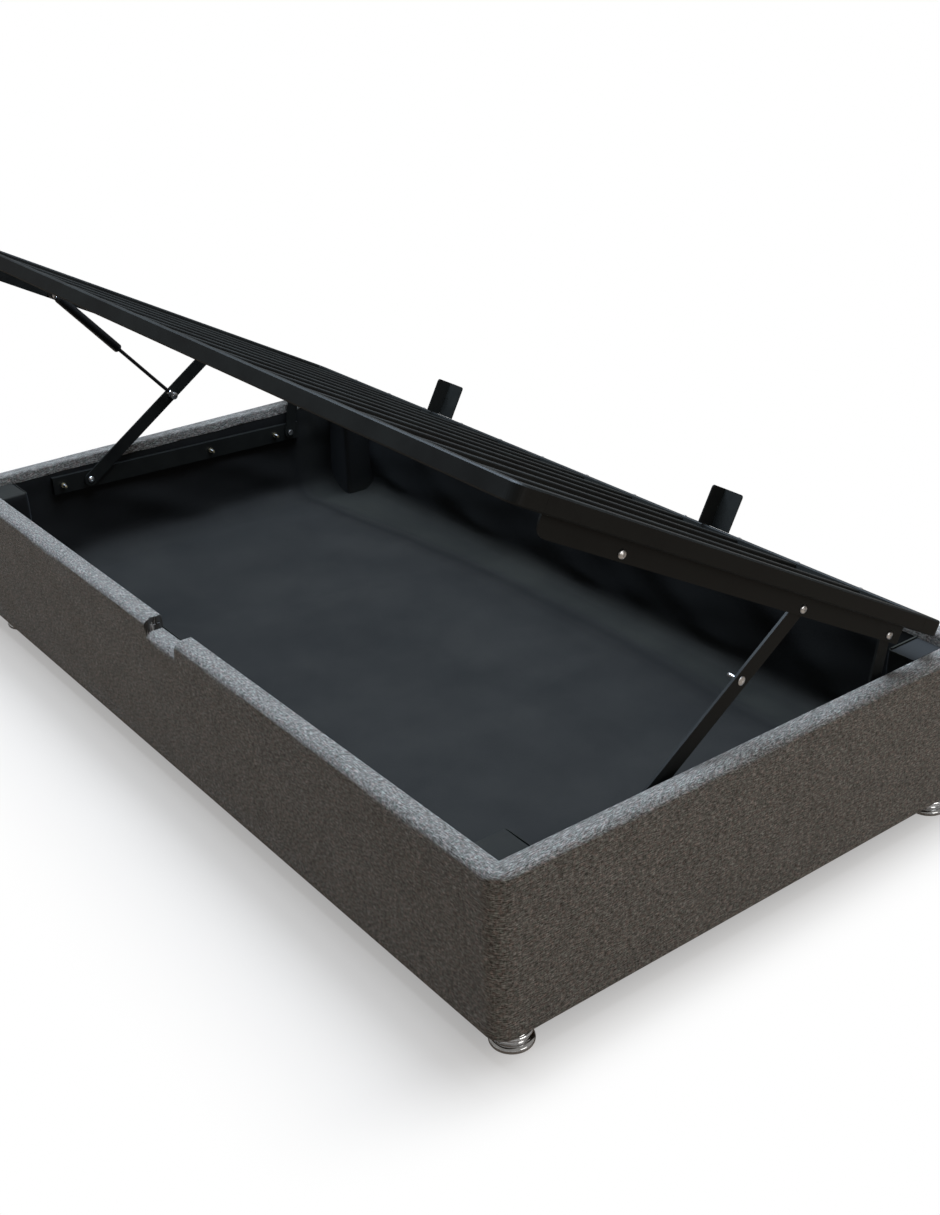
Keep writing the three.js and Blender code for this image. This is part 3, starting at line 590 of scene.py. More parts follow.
def cover_section():
    """Loop of (inset, height, share of the notch) round the cover's section, outside first."""
    hidden = BOARD_INSET + 0.0005
    loop = [(0.033, FOOT + FLAP, 0), (0.033, FOOT + 0.0004, 0), (0.020, FOOT, 0), (0.010, FOOT, 0)]
    loop += [(TURN - TURN * s, FOOT + TURN - TURN * c, 0) for s, c in quarter(5)]
    loop += [(0.0, FOOT + TURN + t * (HEIGHT - TURN - EDGE), t ** 6)
             for t in np.linspace(0.04, 0.96, 24)]
    loop += [(EDGE - EDGE * c, TOP - EDGE + EDGE * s, 1) for s, c in quarter(10)]
    loop += [(d, TOP, 1) for d in (0.020, 0.026, 0.031)]
    loop += [(RIM - TURN + TURN * s, TOP - TURN + TURN * c, 1) for s, c in quarter(5)]
    loop += [(RIM, TOP - drop, 1) for drop in (0.010, 0.015, 0.020)]
    loop += [(RIM - 0.0002, TOP - LIP_DROP, 1), (hidden, TOP - LIP_DROP, 1)]
    loop += [(hidden, TOP - 0.012, 1), (BOARD_INSET, TOP - COVER, 1), (COVER, TOP - COVER, 1)]
    return loop + [(COVER, FOOT + 0.012, 0), (COVER, FOOT + FLAP, 0)]


print("section of the cover:", len(cover_section()), "points")

# %% [markdown]
# The plan of the sweep keeps the same points along the straight walls at every inset, so the rows
# stay square to the walls. Only the last 120 mm before a corner slide, and the corner is an arc.
# More points stand at the two sides of the hand notch, where the rim dips.

# %% Plan of the cover
NOTCH_X, NOTCH_WIDTH, NOTCH_DEPTH = -0.003, 0.128, 0.027
LEFT_SLOPE, RIGHT_SLOPE, PUCKER = 0.0025, 0.009, 0.0035
STEP, CORNER_ZONE = 0.02, 0.12


def notch_dip(x, y):
    """Depth of the notch in plan: a flat floor, a steep puckered left side and a sloping right one.

    Each side is the smooth step 3 t^2 - 2 t^3 over the length of its slope.
    """
    left = x < NOTCH_X
    pucker = PUCKER * (0.5 + 0.5 * np.sin(310.0 * y)) * left
    inside = NOTCH_WIDTH / 2 - pucker - np.abs(x - NOTCH_X)
    t = np.clip(inside / np.where(left, LEFT_SLOPE, RIGHT_SLOPE), 0, 1)
    return np.where(y < -WIDTH / 2 + RIM + 0.01, t * t * (3 - 2 * t) * NOTCH_DEPTH, 0.0)


def straight_run(half, end, extra=()):
    """Stations along a wall: even steps to the corner's zone, then ten up to the run's end."""
    fixed = half - CORNER_ZONE
    inner = np.unique(np.concatenate([np.arange(-fixed, fixed + 1e-6, STEP), extra]))
    tail = np.linspace(fixed, end, 10)[1:]
    return np.concatenate([-tail[::-1], inner, tail])


def plan_ring(inset, radius):
    """Plan points round the base at an inset, counter-clockwise from above, with arcs of radius."""
    hx, hy = LENGTH / 2 - inset, WIDTH / 2 - inset
    px, py = hx - radius, hy - radius
    arc = np.linspace(0, math.pi / 2, 17)[1:-1]
    beside = NOTCH_WIDTH / 2 - np.linspace(-0.003, 0.014, 21)
    front = straight_run(LENGTH / 2, px, np.concatenate([NOTCH_X - beside, NOTCH_X + beside]))
    side, back = straight_run(WIDTH / 2, py), straight_run(LENGTH / 2, px)

    def pair(x, y):
        return np.stack(np.broadcast_arrays(x, y), axis=1)

    def corner(cx, cy, start):
        return pair(cx + radius * np.cos(start + arc), cy + radius * np.sin(start + arc))

    return np.vstack([pair(front, -hy), corner(px, -py, -math.pi / 2),
                      pair(hx, side), corner(px, py, 0.0),
                      pair(back[::-1], hy), corner(-px, py, math.pi / 2),
                      pair(-hx, side[::-1]), corner(-px, -py, math.pi)])


# %% [markdown]
# Cloth over foam is never quite flat. A displacement texture would do, but would also move the hem.
# Waves of about half a millimetre are added to the flat faces alone, and the lip hangs a little
# unevenly. The steep side of the notch gets darker cloth, which paints the shade that falls there
# along with the darker cloth of its tuck.

# %% Cover
CORNER = 0.036


def corner_radius(inset, z):
    """Radius of a row's corner: full outside, tighter over the soft edge and round on the flap."""
    bend = CORNER - 3 * inset if inset < 0.0045 else CORNER - 0.009 - inset
    return max(bend if z > FOOT + 0.05 else CORNER - inset, 0.0015)


def cover():
    """The section swept round the base: one plan ring for each of its points, then the waves."""
    section = cover_section()
    rings, uvs, way = [], [], 0.0
    for row, (inset, z, follow) in enumerate(section):
        ring = plan_ring(inset, corner_radius(inset, z))
        x, y = ring.T
        height = z - notch_dip(x, y) * follow
        steps = np.hypot(*np.diff(np.vstack([ring, ring[:1]]), axis=0).T)
        run = np.concatenate([[0.0], np.cumsum(steps)[:-1]])
        way += math.dist((inset, z), section[max(row - 1, 0)][:2])
        wave = (0.0005 * np.sin(run * 9.1 + z * 21.0) + 0.0004 * np.sin(run * 23.7 + 1.3 + z * 34.0)
                + 0.00025 * np.sin(run * 61.0 + 0.4))
        if inset < 0.002 and FOOT + 0.02 < z < TOP - EDGE + 0.004:
            x = x - np.sign(x) * np.where(np.abs(np.abs(x) - LENGTH / 2) < 0.002, 0.0010 + wave, 0)
            y = y - np.sign(y) * np.where(np.abs(np.abs(y) - WIDTH / 2) < 0.002, 0.0010 + wave, 0)
        if z > TOP - 0.003 and 0.010 < inset < 0.036:
            height = height - 0.0006 - wave * 0.9
        if inset > RIM - 0.001 and z < TOP - 0.012:
            uneven = 0.6 * np.sin(run * 37.0) + 0.4 * np.sin(run * 91.0 + 1.0)
            height = height - 0.0014 * (1 + uneven)
        rings.append(np.stack([x, y, height], axis=1))
        uvs.append(np.stack([run, np.full(len(ring), way)], axis=1))
    faces = grid_faces(len(section), len(rings[0]), wrap_rows=True, wrap_columns=True)
    return mesh_object("cover", np.vstack(rings), faces[:, ::-1].tolist(), CLOTH,
                       uv=np.vstack(uvs), sharp=50)


def tuck_and_shade_notch(piece):
    """Gives the faces of the notch's steep side the darker cloth, and returns their number.

    The darker cloth is painted shade, along with the darker cloth of the tuck there.
    """
    polygons = piece.data.polygons
    centers, normals = (np.empty(3 * len(polygons), dtype=np.float32) for _ in range(2))
    polygons.foreach_get("center", centers)
    polygons.foreach_get("normal", normals)
    x, y, z = centers.reshape(-1, 3).astype(float).T
    beside = (np.abs(x - NOTCH_X + NOTCH_WIDTH / 2) < 0.008) & (y < 0) & (z > TOP - NOTCH_DEPTH)
    # Painted shade: the steep side's faces that look along +x get the darker cloth.
    tucked_shaded = beside & (normals[::3] > 0.5)
    piece.data.materials.append(TUCKED_SHADE_CLOTH)
    polygons.foreach_set("material_index", tucked_shaded.astype(np.int32))
    return int(tucked_shaded.sum())


cover_piece = cover()
tucked_shade_faces = tuck_and_shade_notch(cover_piece)
print("cover:", len(cover_piece.data.polygons), "faces,", tucked_shade_faces, "of them tucked in")
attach(cover_piece, "base")
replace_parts(cover_piece, "fabric_cover")

# %% [markdown]
# ## Lining of the well
# One cloth lies on the floor panel and turns up the four walls, with a slack cove along the hinge
# side and softer ones at the ends. A cloth simulation could drop it in, but it is held on all sides
# and has hardly any free cloth. So its folds are sums of soft ridges, the same at each run.

# %% Ridges and waves
def waves(u, v, seed, count=5, low=4.0, high=16.0):
    """Soft noise in -1..1: the mean of sines with random directions, wave numbers and phases."""
    draw = np.random.default_rng(seed)
    total = np.zeros_like(u)
    for _ in range(count):
        turn, number, phase = (
            draw.uniform(*span) for span in ((0, math.tau), (low, high), (0, math.tau)))
        total = total + np.sin(number * (u * math.cos(turn) + v * math.sin(turn)) + phase)
    return total / count ** 0.5 / 1.5


def ridge(distance, width):
    """A soft ridge across a line: exp(-(distance / width) squared)."""
    return np.exp(-(distance / width) ** 2)


# %% Lining sizes and folds
WALL = 0.0398  # from the outside of the base to the face of the lining
WELL_X, WELL_Y = LENGTH / 2 - WALL, WIDTH / 2 - WALL
POST_X, POST_Y, POST_TOP = 0.084, 0.080, TOP - 0.026
FLOOR_TOP, LINING_TOP, LINING, TUCK = 0.080, 0.3267, 0.0015, 0.012
print("inside of the well:", round(2 * WELL_X, 4), "x", round(2 * WELL_Y, 4), "m")


def floor_folds(x, y):
    """Height of the soft creases on the floor, in metres: long ridges beside the hinge side."""
    drift = 0.010 * waves(x, y, 3, low=1.5, high=5.0)
    crease = y - CREASE_Y + CREASE_BEND * (x - CREASE_X) ** 2
    ridges = (
        (0.0042, crease - 0.014 - 0.5 * drift, 0.012), (0.0020, crease + 0.030 - drift, 0.022),
        (0.0016, y - 0.10 - 3.0 * drift, 0.030), (0.0014, y + 0.20 + 2.0 * drift, 0.026),
        (0.0012, x - 0.34 + 0.25 * y - drift, 0.02), (0.0011, x + 0.42 - 0.2 * y, 0.022))
    folds = sum(height * ridge(distance, width) for height, distance, width in ridges)
    return folds + 0.0007 * (1 + waves(x, y, 4, low=9.0, high=26.0))


def wall_folds(run, z, seed):
    """Share of the full fold depth on a wall: slack diagonal swags between the fixed edges."""
    bend = 0.35 * waves(run, z, seed, low=3.0, high=9.0)
    swag = 0.5 + 0.5 * np.sin(17.0 * run + 34.0 * (z - FLOOR_TOP) + 4.0 * bend)
    fine = 0.5 + 0.5 * waves(run, z * 2.2, seed + 20, low=14.0, high=46.0)
    return np.clip(0.62 * swag ** 2 + 0.38 * fine, 0, 1)


# %% [markdown]
# The section of the tub is a flat floor, a sloping cove and a wall. Its bends are rounded by taking
# the mean of the path over a short length, which is simpler than fitting an arc to each slope. The
# finished side is then copied back by the cloth's thickness and closed at its edges.

# %% Section and thickness
def tub_section(half, cove, spread, stations):
    """Distance and height at each station along half a section, from the middle up to the rim.

    The cove is a (width, height) at the foot of the wall, and the mean is over 2 * spread.
    """
    width, height = cove
    bends = np.array([(0.0, FLOOR_TOP), (half - width, FLOOR_TOP), (half, FLOOR_TOP + height),
                      (half, LINING_TOP)])
    steps = np.concatenate([[0.0], np.cumsum(np.hypot(*np.diff(bends, axis=0).T))])
    fine = np.linspace(0, steps[-1], 1200)
    room = np.minimum(1.0, np.minimum(fine, steps[-1] - fine) / spread)
    offsets = np.linspace(-spread, spread, 15)
    smooth = sum(np.stack([np.interp(fine + offset * room, steps, bends[:, k]) for k in (0, 1)])
                 for offset in offsets) / len(offsets)
    knee = half - width - spread
    path = np.interp(stations, [0.0, knee, stations.max()], [0.0, knee, steps[-1]])
    return np.interp(path, fine, smooth[0]), np.interp(path, fine, smooth[1])


def thickened(points, faces, thickness):
    """A closed sheet: the given side, a copy set back along the normals, and walls at the edges."""
    a, b, c, d = (points[faces[:, corner]] for corner in range(4))
    cross = np.cross(c - a, d - b)
    normals = np.zeros_like(points)
    for corner in range(4):
        np.add.at(normals, faces[:, corner], cross)
    normals /= np.maximum(np.linalg.norm(normals, axis=1), 1e-12)[:, None]
    used = np.unique(faces)
    number = np.full(len(points), -1)
    number[used] = np.arange(len(used))
    faces, count = number[faces], len(used)
    top = points[used]
    edges = np.concatenate([faces[:, [k, (k + 1) % 4]] for k in range(4)])
    paired = set(map(tuple, edges.tolist()))
    sides = [(q, p, p + count, q + count) for p, q in paired if (q, p) not in paired]
    return (np.vstack([top, top - normals[used] * thickness]),
            faces.tolist() + (faces[:, ::-1] + count).tolist() + sides)


# %% Main cloth
END_COVE, FRONT_COVE, BACK_COVE = (0.050, 0.034), (0.014, 0.012), (0.024, 0.020)


def cloth_stations(half, post, step):
    """Ways out from the middle: even steps to the post, then 34 from the cut up to the rim."""
    cut = half - post + TUCK
    return np.unique(np.round(np.concatenate([
        np.arange(0, half - post, step), [half - post, cut],
        np.linspace(cut, half + LINING_TOP - FLOOR_TOP, 34)]), 5))


def both_ways(low, high, sign):
    """One half turned round and joined to the other, without the middle twice."""
    return np.concatenate([sign * low[:0:-1], high])


def well_cloth():
    """The cloth as a grid over the well, z = the higher of its two sections plus the folds.

    Its corners are cut out 12 mm behind the posts.
    """
    across, deep = cloth_stations(WELL_X, POST_X, 0.0118), cloth_stations(WELL_Y, POST_Y, 0.0098)
    end_out, end_up = tub_section(WELL_X, END_COVE, 0.026, across)
    front_out, front_up = tub_section(WELL_Y, FRONT_COVE, 0.012, deep)
    back_out, back_up = tub_section(WELL_Y, BACK_COVE, 0.010, deep)
    x, y = np.meshgrid(both_ways(end_out, end_out, -1), both_ways(front_out, back_out, -1),
                       indexing="ij")
    up_x, up_y = np.meshgrid(both_ways(end_up, end_up, 1), both_ways(front_up, back_up, 1),
                             indexing="ij")
    z = np.maximum(up_x, up_y)
    z = z + floor_folds(x, y) * np.clip((z.max() - z) / 0.2, 0, 1) ** 0.5 * (z < FLOOR_TOP + 0.06)
    inward_x = wall_folds(y, z, 11) * np.clip((up_x - FLOOR_TOP) / 0.05, 0, 1)
    inward_y = wall_folds(x, z, 12) * np.clip((up_y - FLOOR_TOP) / 0.05, 0, 1)
    behind_links = 1 - ridge(z - 0.284, 0.040) * (np.abs(y) < 0.40)
    held = np.clip((LINING_TOP - z) / 0.03, 0, 1)
    x = x - np.sign(x) * inward_x * 0.010 * behind_links * held
    y = y - np.sign(y) * inward_y * 0.011 * held
    u, v = both_ways(across, across, -1), both_ways(deep, deep, -1)
    mid_u, mid_v = (np.abs(0.5 * (way[:-1] + way[1:])) for way in (u, v))
    cut_out = (mid_u > WELL_X - POST_X + TUCK)[:, None] & (mid_v > WELL_Y - POST_Y + TUCK)[None, :]
    faces = grid_faces(len(u), len(v))[~cut_out.ravel()]
    return thickened(np.stack([x, y, z], axis=-1).reshape(-1, 3), faces, LINING)


# %% [markdown]
# Four short strips wrap the corner posts. At the back posts their edge is cut 47 mm lower beside
# the end wall, round the recess that the link needs when the platform is down. Without the cut,
# the lowered links and plates would pass through the cloth.

# %% Post strips
WRAP_RADIUS, WRAP_ROWS, WRAP_TOP_ROWS, LINK_CUT = 0.006, 20, 7, 0.047


def post_wrap(side_x, side_y):
    """A strip round two faces of a post: straight, a quarter turn, straight, and over its top."""
    px, py, radius = WELL_X - POST_X, WELL_Y - POST_Y, WRAP_RADIUS
    run = np.linspace(0, POST_X + POST_Y + 0.004, 42)
    turn = np.clip((run - POST_X + radius) / (2 * radius), 0, 1) * math.pi / 2
    plan_x = np.where(run < POST_X - radius, WELL_X + 0.002 - run,
                      px + radius - radius * np.sin(turn))
    plan_y = np.where(run > POST_X + radius, py + run - POST_X,
                      py + radius - radius * np.cos(turn))
    height = np.concatenate([np.linspace(FLOOR_TOP - 0.0005, POST_TOP, WRAP_ROWS),
                             np.full(WRAP_TOP_ROWS, POST_TOP + 0.0017)])
    cut = LINK_CUT * np.clip((0.044 - run) / 0.010, 0, 1) * (side_y > 0)
    share = np.clip((height - FLOOR_TOP) / (POST_TOP - FLOOR_TOP), 0, 1)
    z = height[None, :] - cut[:, None] * share[None, :]
    x, y = (np.repeat(plan[:, None], len(height), axis=1) for plan in (plan_x, plan_y))
    seed = 30 + int(side_x > 0) + 2 * int(side_y > 0)
    slack = 0.0022 * (0.5 + 0.5 * waves(x * 3 + y * 3, z, seed))
    slack = slack * np.clip((LINING_TOP - z) / 0.03, 0, 1)
    reach = POST_X - 0.002 if side_y < 0 else 0.004
    over = np.concatenate([np.zeros(WRAP_ROWS), np.linspace(0.0008, reach, WRAP_TOP_ROWS)])
    x = x + (run > POST_X + radius)[:, None] * over
    points = np.stack([side_x * (x - slack), side_y * (y - slack), z], axis=-1).reshape(-1, 3)
    faces = grid_faces(len(run), len(height))
    return thickened(points, faces[:, ::-1] if side_x * side_y < 0 else faces, LINING)


# %% Lining
def lining():
    """Main cloth and post strips in one mesh."""
    points, faces, offset = [], [], 0
    strips = [post_wrap(side_x, side_y) for side_x in (-1, 1) for side_y in (-1, 1)]
    for part_points, part_faces in [well_cloth()] + strips:
        points.append(part_points)
        faces += [tuple(index + offset for index in face) for face in part_faces]
        offset += len(part_points)
    return mesh_object("lining", np.vstack(points), faces, LINING_CLOTH, sharp=60)


lining_piece = lining()
print("lining:", len(lining_piece.data.polygons), "faces")
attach(lining_piece, "base")
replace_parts(lining_piece, "well_lining")

# %% [markdown]
# ## Feet
# Each chrome foot is turned: a wide base lip, a hollow waist, a round bead and a cap under the box.
# Stacked tori and cylinders would meet in hard lines, so one profile of ellipse arcs runs through
# all of it.

# %% Feet
FEET = [(x, y) for x in (-0.914, 0.997) for y in (-0.513, 0.506)]


def arc_profile(center, radii, start, end, steps):
    """Points (height, radius) on an ellipse arc about center, angles in degrees from outward."""
    return [(center[0] + radii[0] * math.sin(a), center[1] + radii[1] * math.cos(a))
            for a in np.radians(np.linspace(start, end, steps))]


foot_profile = [(0.0, 0.0330), (0.0006, 0.0352)]
foot_profile += arc_profile((0.0052, 0.0355), (0.0046, 0.0022), -80, 85, 9)
foot_profile += [(0.0105, 0.0352), (0.0118, 0.0318)]
foot_profile += arc_profile((0.0165, 0.0345), (0.0046, -0.0070), -75, 75, 11)
foot_profile += arc_profile((0.0262, 0.0318), (0.0046, 0.0040), -80, 85, 11)
foot_profile += [(0.0318, 0.0300), (0.0330, 0.0312), (0.0350, 0.0330), (0.0380, 0.0336)]
foot_profile += [(0.0397, 0.0330), (0.0397, 0.012), (0.0430, 0.012)]
for index, (x, y) in enumerate(FEET):
    piece = turned(f"turned_foot_{index}", foot_profile, (x, y, 0.0), (0, 0, 1), CHROME,
                   segments=72, sharp=38)
    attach(piece, "base")
    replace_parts(piece, f"foot_{'front' if y < 0 else 'back'}_{'left' if x < 0 else 'right'}")
print("foot profile:", len(foot_profile), "points")

# %% [markdown]
# ## Pivot hardware
# The linkage turns on domed rivets and shoulder pins of bright zinc. The solids are plain stepped
# cylinders, so each is replaced by a turned one with a domed head. The stations run along the bed
# from the middle out; they are given for the right end and mirrored for the left.

# %% Sizes of the linkage
# Pivots as (y, z): A and B are on the end walls, C, D and E on the platform, and F on the arm.
PIVOT_A, PIVOT_B = (-0.2597, 0.2920), (0.3171, 0.2753)
PIVOT_C, PIVOT_D = (0.113849, 0.547200), (0.346274, 0.420741)
PIVOT_E, PIVOT_F = (-0.287932, 0.765803), (-0.016943, 0.457846)
# Faces along x of the pivot plate and the arm, the strut's plane, and the pin's seat and end.
PLATE_OUT, PLATE_IN, ARM_OUT, ARM_IN, STRUT_X = 0.9927, 0.9887, 0.9857, 0.9807, 0.9667
PIN_SEAT, PIN_END = 0.9920, 0.9955
# Radii of heads, shanks and studs, then the heights of a dome and a collar, and the clearance.
HEAD, LINK_HEAD, SHANK, STUD = 0.008, 0.0074, 0.005, 0.003
DOME, COLLAR, EYE_HALF, GAP = 0.0032, 0.0023, 0.0053, 0.0003
print("front arm, A to C:", round(math.dist(PIVOT_A, PIVOT_C), 4), "m;",
      "rear link, B to D:", round(math.dist(PIVOT_B, PIVOT_D), 4), "m")

# %% Pins
DOME_SHAPE = [(0.0, 1.0), (0.30, 0.98), (0.62, 0.84), (0.84, 0.60), (0.96, 0.34), (1.0, 0.30),
              (0.72, 0.22)]


def dome(face, outward, radius, height):
    """Stations of a domed head that stands on a face and points outward (1) or inward (-1)."""
    return [(face + outward * height * h, radius * r) for h, r in DOME_SHAPE]


def placed(stations, side):
    """Stations for the right (1) or left (-1) end, always in the order of rising x."""
    return [(side * x, r) for x, r in stations][::side]


def pin(name, side, body, pivot, stations):
    """A turned pin through pivot (y, z); stations of (x, radius) run from inside to outside."""
    piece = turned(name, placed(stations, side), (0.0, *pivot), (1, 0, 0), ZINC,
                   segments=40, sharp=40)
    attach(piece, body)
    return piece


for side, end in ENDS:
    inner = dome(ARM_IN - GAP, -1, HEAD, DOME)[::-1]
    outer = dome(PLATE_OUT + GAP, 1, HEAD, DOME)
    in_arm = [(ARM_IN - GAP, SHANK), (ARM_OUT + GAP, SHANK)]
    past_arm = [(ARM_OUT + GAP, HEAD)]
    in_plate = [(PLATE_IN - GAP, HEAD), (PLATE_IN - GAP, SHANK), (PLATE_OUT + GAP, SHANK)]
    eye = dome(STRUT_X - EYE_HALF, -1, HEAD, DOME)[::-1]
    eye += [(STRUT_X - EYE_HALF, SHANK), (STRUT_X + EYE_HALF, SHANK), (STRUT_X + EYE_HALF, HEAD)]
    shoulder = [(ARM_OUT + GAP + COLLAR, HEAD), (ARM_OUT + GAP + COLLAR, SHANK),
                (PIN_SEAT, SHANK), (PIN_SEAT, HEAD), (PIN_END, HEAD)]
    stud = [(0.9560, 0.0014), (0.9564, 0.0030), (0.9580, 0.0038), (0.9620, 0.0039),
            (0.9650, 0.0032)]
    if side < 0:  # the left stud carries the strut's socket, so it ends there
        stud = [(STRUT_X + 0.0063, STUD)]
    stud += [(ARM_IN - 0.0026, STUD), (ARM_IN - 0.0026, HEAD), (ARM_IN - GAP, HEAD)]
    for name, body, pivot, stations, stands_for in (
            ("top_rivet", "platform", PIVOT_C, inner + in_arm + past_arm + in_plate + outer,
             "arm_bolt"),
            ("rear_rivet", "platform", PIVOT_D, [(PLATE_IN - COLLAR, HEAD)] + in_plate + outer,
             "link_bolt"),
            ("strut_rivet", "platform", PIVOT_E, eye + in_plate + outer, "strut_bolt"),
            ("lower_rivet", "base", PIVOT_A, inner + in_arm + past_arm + shoulder, "arm_pin"),
            ("strut_stud", f"{end}_arm", PIVOT_F,
             stud + in_arm + dome(ARM_OUT + GAP, 1, HEAD, 0.0018), "arm_stud")):
        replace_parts(pin(f"{name}_{end}", side, body, pivot, stations), f"{stands_for}_{end}")
    head = dome(ARM_IN - 0.0033, -1, LINK_HEAD, 0.0012)[::-1] + [(ARM_IN - 0.0033, LINK_HEAD)]
    pin(f"link_head_{end}", side, "base", PIVOT_B, head)
print("pivot pieces:", 6 * len(ENDS))

# %% [markdown]
# ## Tails of the wall bolts
# The bolts that hold each channel stick out of their nuts, with a bright end. The thread takes the
# dark rod finish, which paints the shade on the tail's side along with its darker steel. A real
# helix would cost thousands of faces at a few pixels, so the thread is a sleeve of rings. It and
# the tip are turned round the solid's own short tail.

# %% Bolt tails
THREAD_PITCH, THREAD_RINGS, THREAD_RADIUS, THREAD_DEPTH = 0.0006, 20, 0.0033, 0.0005

for side, end in ENDS:
    for number in (1, 2, 3):
        low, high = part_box(f"wall_bolt_{end}_{number}")
        centre = (0.0, (low[1] + high[1]) / 2, (low[2] + high[2]) / 2)
        tip = min(abs(low[0]), abs(high[0]))
        # Painted shade: the thread's dark rod finish darkens the tail's side; the end keeps yellow
        # zinc.
        thread = [(tip - 0.0030 + THREAD_PITCH * k, THREAD_RADIUS - THREAD_DEPTH * (k % 2))
                  for k in range(THREAD_RINGS)]
        bright = [(tip - back, radius) for back, radius in (
            (0.0062, 0.0022), (0.0058, 0.0031), (0.0030, 0.0034), (0.0028, 0.0030))]
        name = f"bolt_tail_{end}_{number}"
        tail = join_objects(name, [
            turned(name, placed(stations, side), centre, (1, 0, 0), material, segments=28)
            for stations, material in ((thread, ROD), (bright, BRASS))])
        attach(tail, "base")
print("thread of each tail:", round(1000 * THREAD_PITCH * (THREAD_RINGS - 1), 1), "mm")

# %% [markdown]
# ## Gas strut
# The strut is a painted cylinder with rolled ends, a dark rod and a bright end joint, between the
# platform's pivot E and the arm's stud F. Each is turned about the line E to F, so that it points
# right without being rotated afterwards.

# %% Strut
STRUT_START, STRUT_END = Vector((-STRUT_X, *PIVOT_E)), Vector((-STRUT_X, *PIVOT_F))
STRUT_LINE, STRUT_LENGTH = (STRUT_END - STRUT_START).normalized(), (STRUT_END - STRUT_START).length

cylinder = [(0.0060, 0.0050), (0.0075, 0.0082), (0.0100, 0.0098), (0.0130, 0.0108),
            (0.0160, 0.0110), (0.2050, 0.0110), (0.2060, 0.0104), (0.2076, 0.0104),
            (0.2086, 0.0110), (0.2100, 0.0108), (0.2124, 0.0092), (0.2130, 0.0070),
            (0.2130, 0.0048), (0.2105, 0.0048)]
body = turned("gas_cylinder", cylinder, STRUT_START, STRUT_LINE, STRUT, segments=56, sharp=40)
eye_profile = [(-0.005, 0.0098), (-0.0044, 0.0110), (0.0044, 0.0110), (0.005, 0.0098)]
eye = turned("gas_cylinder_eye", eye_profile, STRUT_START, (1, 0, 0), STRUT,
             segments=48, sharp=40)
body = join_objects("gas_cylinder", [body, eye])
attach(body, "strut_cylinder")
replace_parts(body, "strut_cylinder")

rod_profile = [(0.2000, 0.0045), (STRUT_LENGTH - 0.020, 0.0045), (STRUT_LENGTH - 0.006, 0.0045)]
rod = turned("gas_rod", rod_profile, STRUT_START, STRUT_LINE, ROD, segments=40)
joint_profile = [(STRUT_LENGTH - back, radius) for back, radius in (
    (0.0190, 0.0052), (0.0180, 0.0062), (0.0090, 0.0064), (0.0060, 0.0064))]
joint = turned("gas_joint", joint_profile, STRUT_START, STRUT_LINE, ZINC, segments=40)
socket_profile = [(-0.006, 0.0078), (-0.005, 0.0090), (0.005, 0.0090), (0.006, 0.0078)]
socket = turned("gas_socket", socket_profile, STRUT_END, (1, 0, 0), ZINC, segments=48, sharp=40)
for part in (rod, joint, socket):
    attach(part, "strut_rod")
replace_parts(rod, "strut_rod")
print("strut:", round(STRUT_LENGTH, 4), "m between its pivots")

# %% [markdown]
# ## Slat screws
# A small domed screw holds each slat on the back rail. The platform is tilted, so a screw's place
# is worked out along the platform and over its top, and its axis is the platform's upward one.

# %% Slat screws
TILT = math.radians(28.55)
PLATFORM_ORIGIN, PLATFORM_DEPTH = Vector((0.0, -0.497222, 0.940012)), 1.090  # front edge of its top
ALONG = Vector((0.0, math.cos(TILT), -math.sin(TILT)))
NORMAL = Vector((0.0, math.sin(TILT), math.cos(TILT)))
SLATS, SLAT_PITCH, SCREW_ALONG, SCREW_SUNK = 12, 0.15321, PLATFORM_DEPTH - 0.012, 0.0004
SCREW_PROFILE = [(0.0, 0.0042), (0.0009, 0.0040), (0.0016, 0.0030), (0.0020, 0.0012)]

for index in range(SLATS):
    x = (index - (SLATS - 1) / 2) * SLAT_PITCH
    place = Vector((x, 0.0, 0.0)) + PLATFORM_ORIGIN + ALONG * SCREW_ALONG - NORMAL * SCREW_SUNK
    screw = turned(f"slat_screw_{index + 1}", SCREW_PROFILE, place, NORMAL, ZINC, segments=24)
    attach(screw, "platform")
print("slat screws:", SLATS, "of them,", SLAT_PITCH, "m apart")

# %% [markdown]
# ## Staples
# Wire staples hold the cloth's lip on the lining, along both ends and in the notch. They are small
# and many, so each is a plain bar of six faces, at a slightly uneven place, and all are one piece.

# %% Staples
WIRE, STAPLE_HALF, NOTCH_STAPLE_HALF = 0.0005, 0.005, 0.0025
BAR_FACES = [(0, 1, 3, 2), (4, 6, 7, 5), (0, 4, 5, 1), (2, 3, 7, 6), (0, 2, 6, 4), (1, 5, 7, 3)]
rng = np.random.default_rng(7)


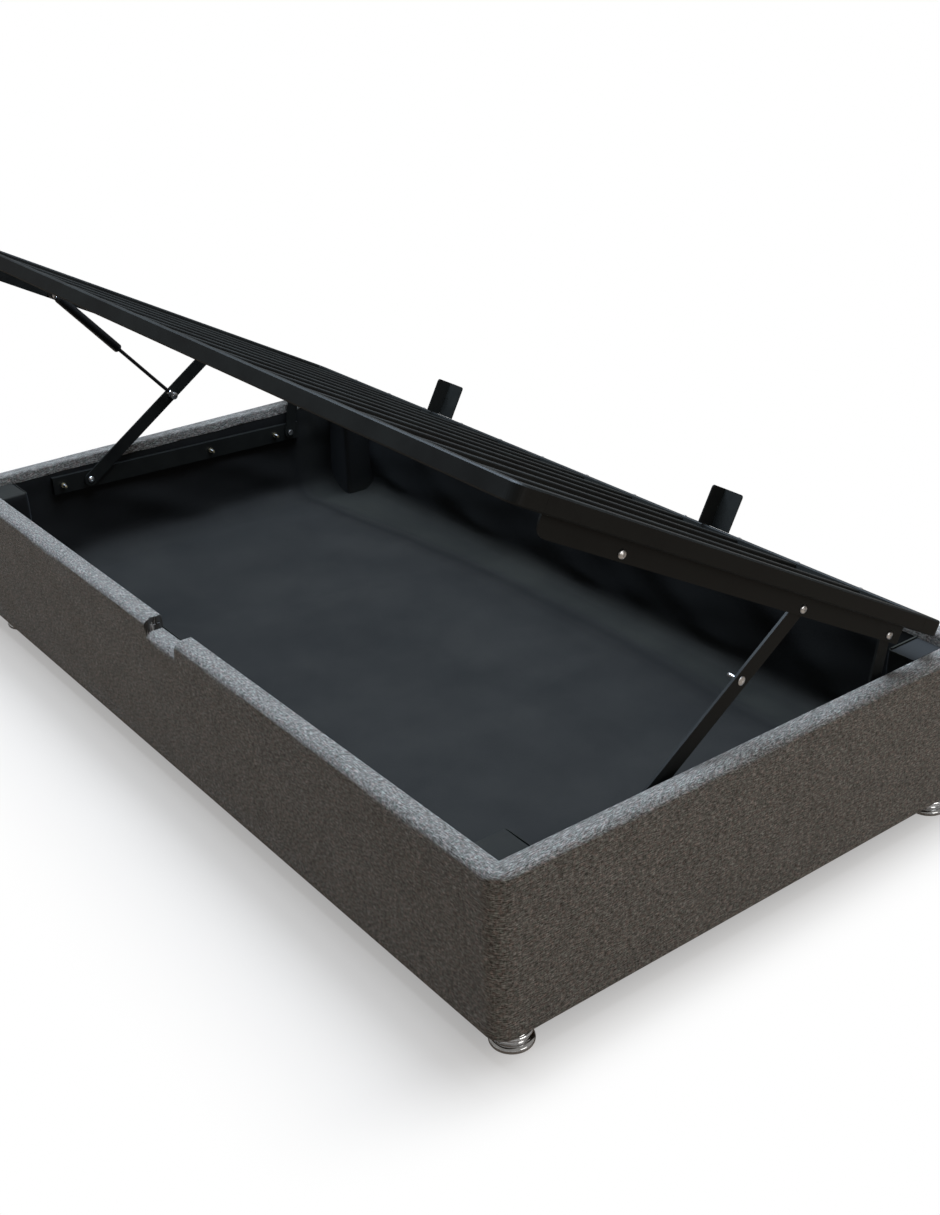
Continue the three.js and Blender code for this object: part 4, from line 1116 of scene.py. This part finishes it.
def staple(name, place, inward, half):
    """A bar of the given half length along y: its corners are place + (+-half, +-wire, +-wire).

    It lies on a wall whose inside is toward the inward direction, 1 or -1 along x.
    """
    sides = np.array([(0.0, half, 0.0), (0.0, 0.0, WIRE), (inward * WIRE, 0.0, 0.0)])
    signs = np.array([(a, b, c) for a in (-1, 1) for b in (-1, 1) for c in (-1, 1)])
    points = np.array(place) + sides[2] + signs @ sides
    faces = BAR_FACES if inward > 0 else [face[::-1] for face in BAR_FACES]
    return mesh_object(name, points, faces, ZINC, smooth=False)


staples = []
for index in range(30):
    side = -1 if index < 15 else 1
    y = -0.43 + 0.86 * (index % 15) / 14 + rng.uniform(-0.008, 0.008)
    z = TOP - LIP_DROP + 0.004 + rng.uniform(-0.001, 0.001)
    staples.append(staple(f"staple_{index}", (side * (LENGTH / 2 - RIM), y, z), -side, STAPLE_HALF))
for index, (back, drop) in enumerate(((0.021, 0.015), (0.030, 0.014))):
    place = (NOTCH_X - NOTCH_WIDTH / 2 + 0.0055, -WIDTH / 2 + back, TOP - drop)
    staples.append(staple(f"notch_staple_{index}", place, 1, NOTCH_STAPLE_HALF))
print("staples:", len(staples))
staple_row = join_objects("lip_staples", staples)
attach(staple_row, "base")

# %% [markdown]
# ## Finishes of the solids that stay
# Boards, posts, channels, arms, links, plates, rails, slats, stops and wall bolts are right as
# solids. Their meshes stay as they are, and each gets the finish that the record names for it.

# %% Materials on the carried-over nodes
FINISH = {"board": BOARD, "lining_cloth": LINING_CLOTH, "post_cloth": LIT_POST_FELT, "chrome": CHROME,
          "black_steel": STEEL, "bright_zinc": ZINC, "yellow_zinc": BRASS, "strut_black": STRUT,
          "rod_steel": ROD, "cover_cloth": CLOTH}
SLOTS = {part["node"]: part["material_slot"] for part in frame["record"]["subparts"]}
for name, piece in frame["nodes"].items():
    finish = FINISH[SLOTS[name]]
    if not piece.material_slots:
        piece.data.materials.append(finish)
    for material_slot in piece.material_slots:
        material_slot.link = "OBJECT"
        material_slot.material = finish
print("solids with a finish:", len(frame["nodes"]))
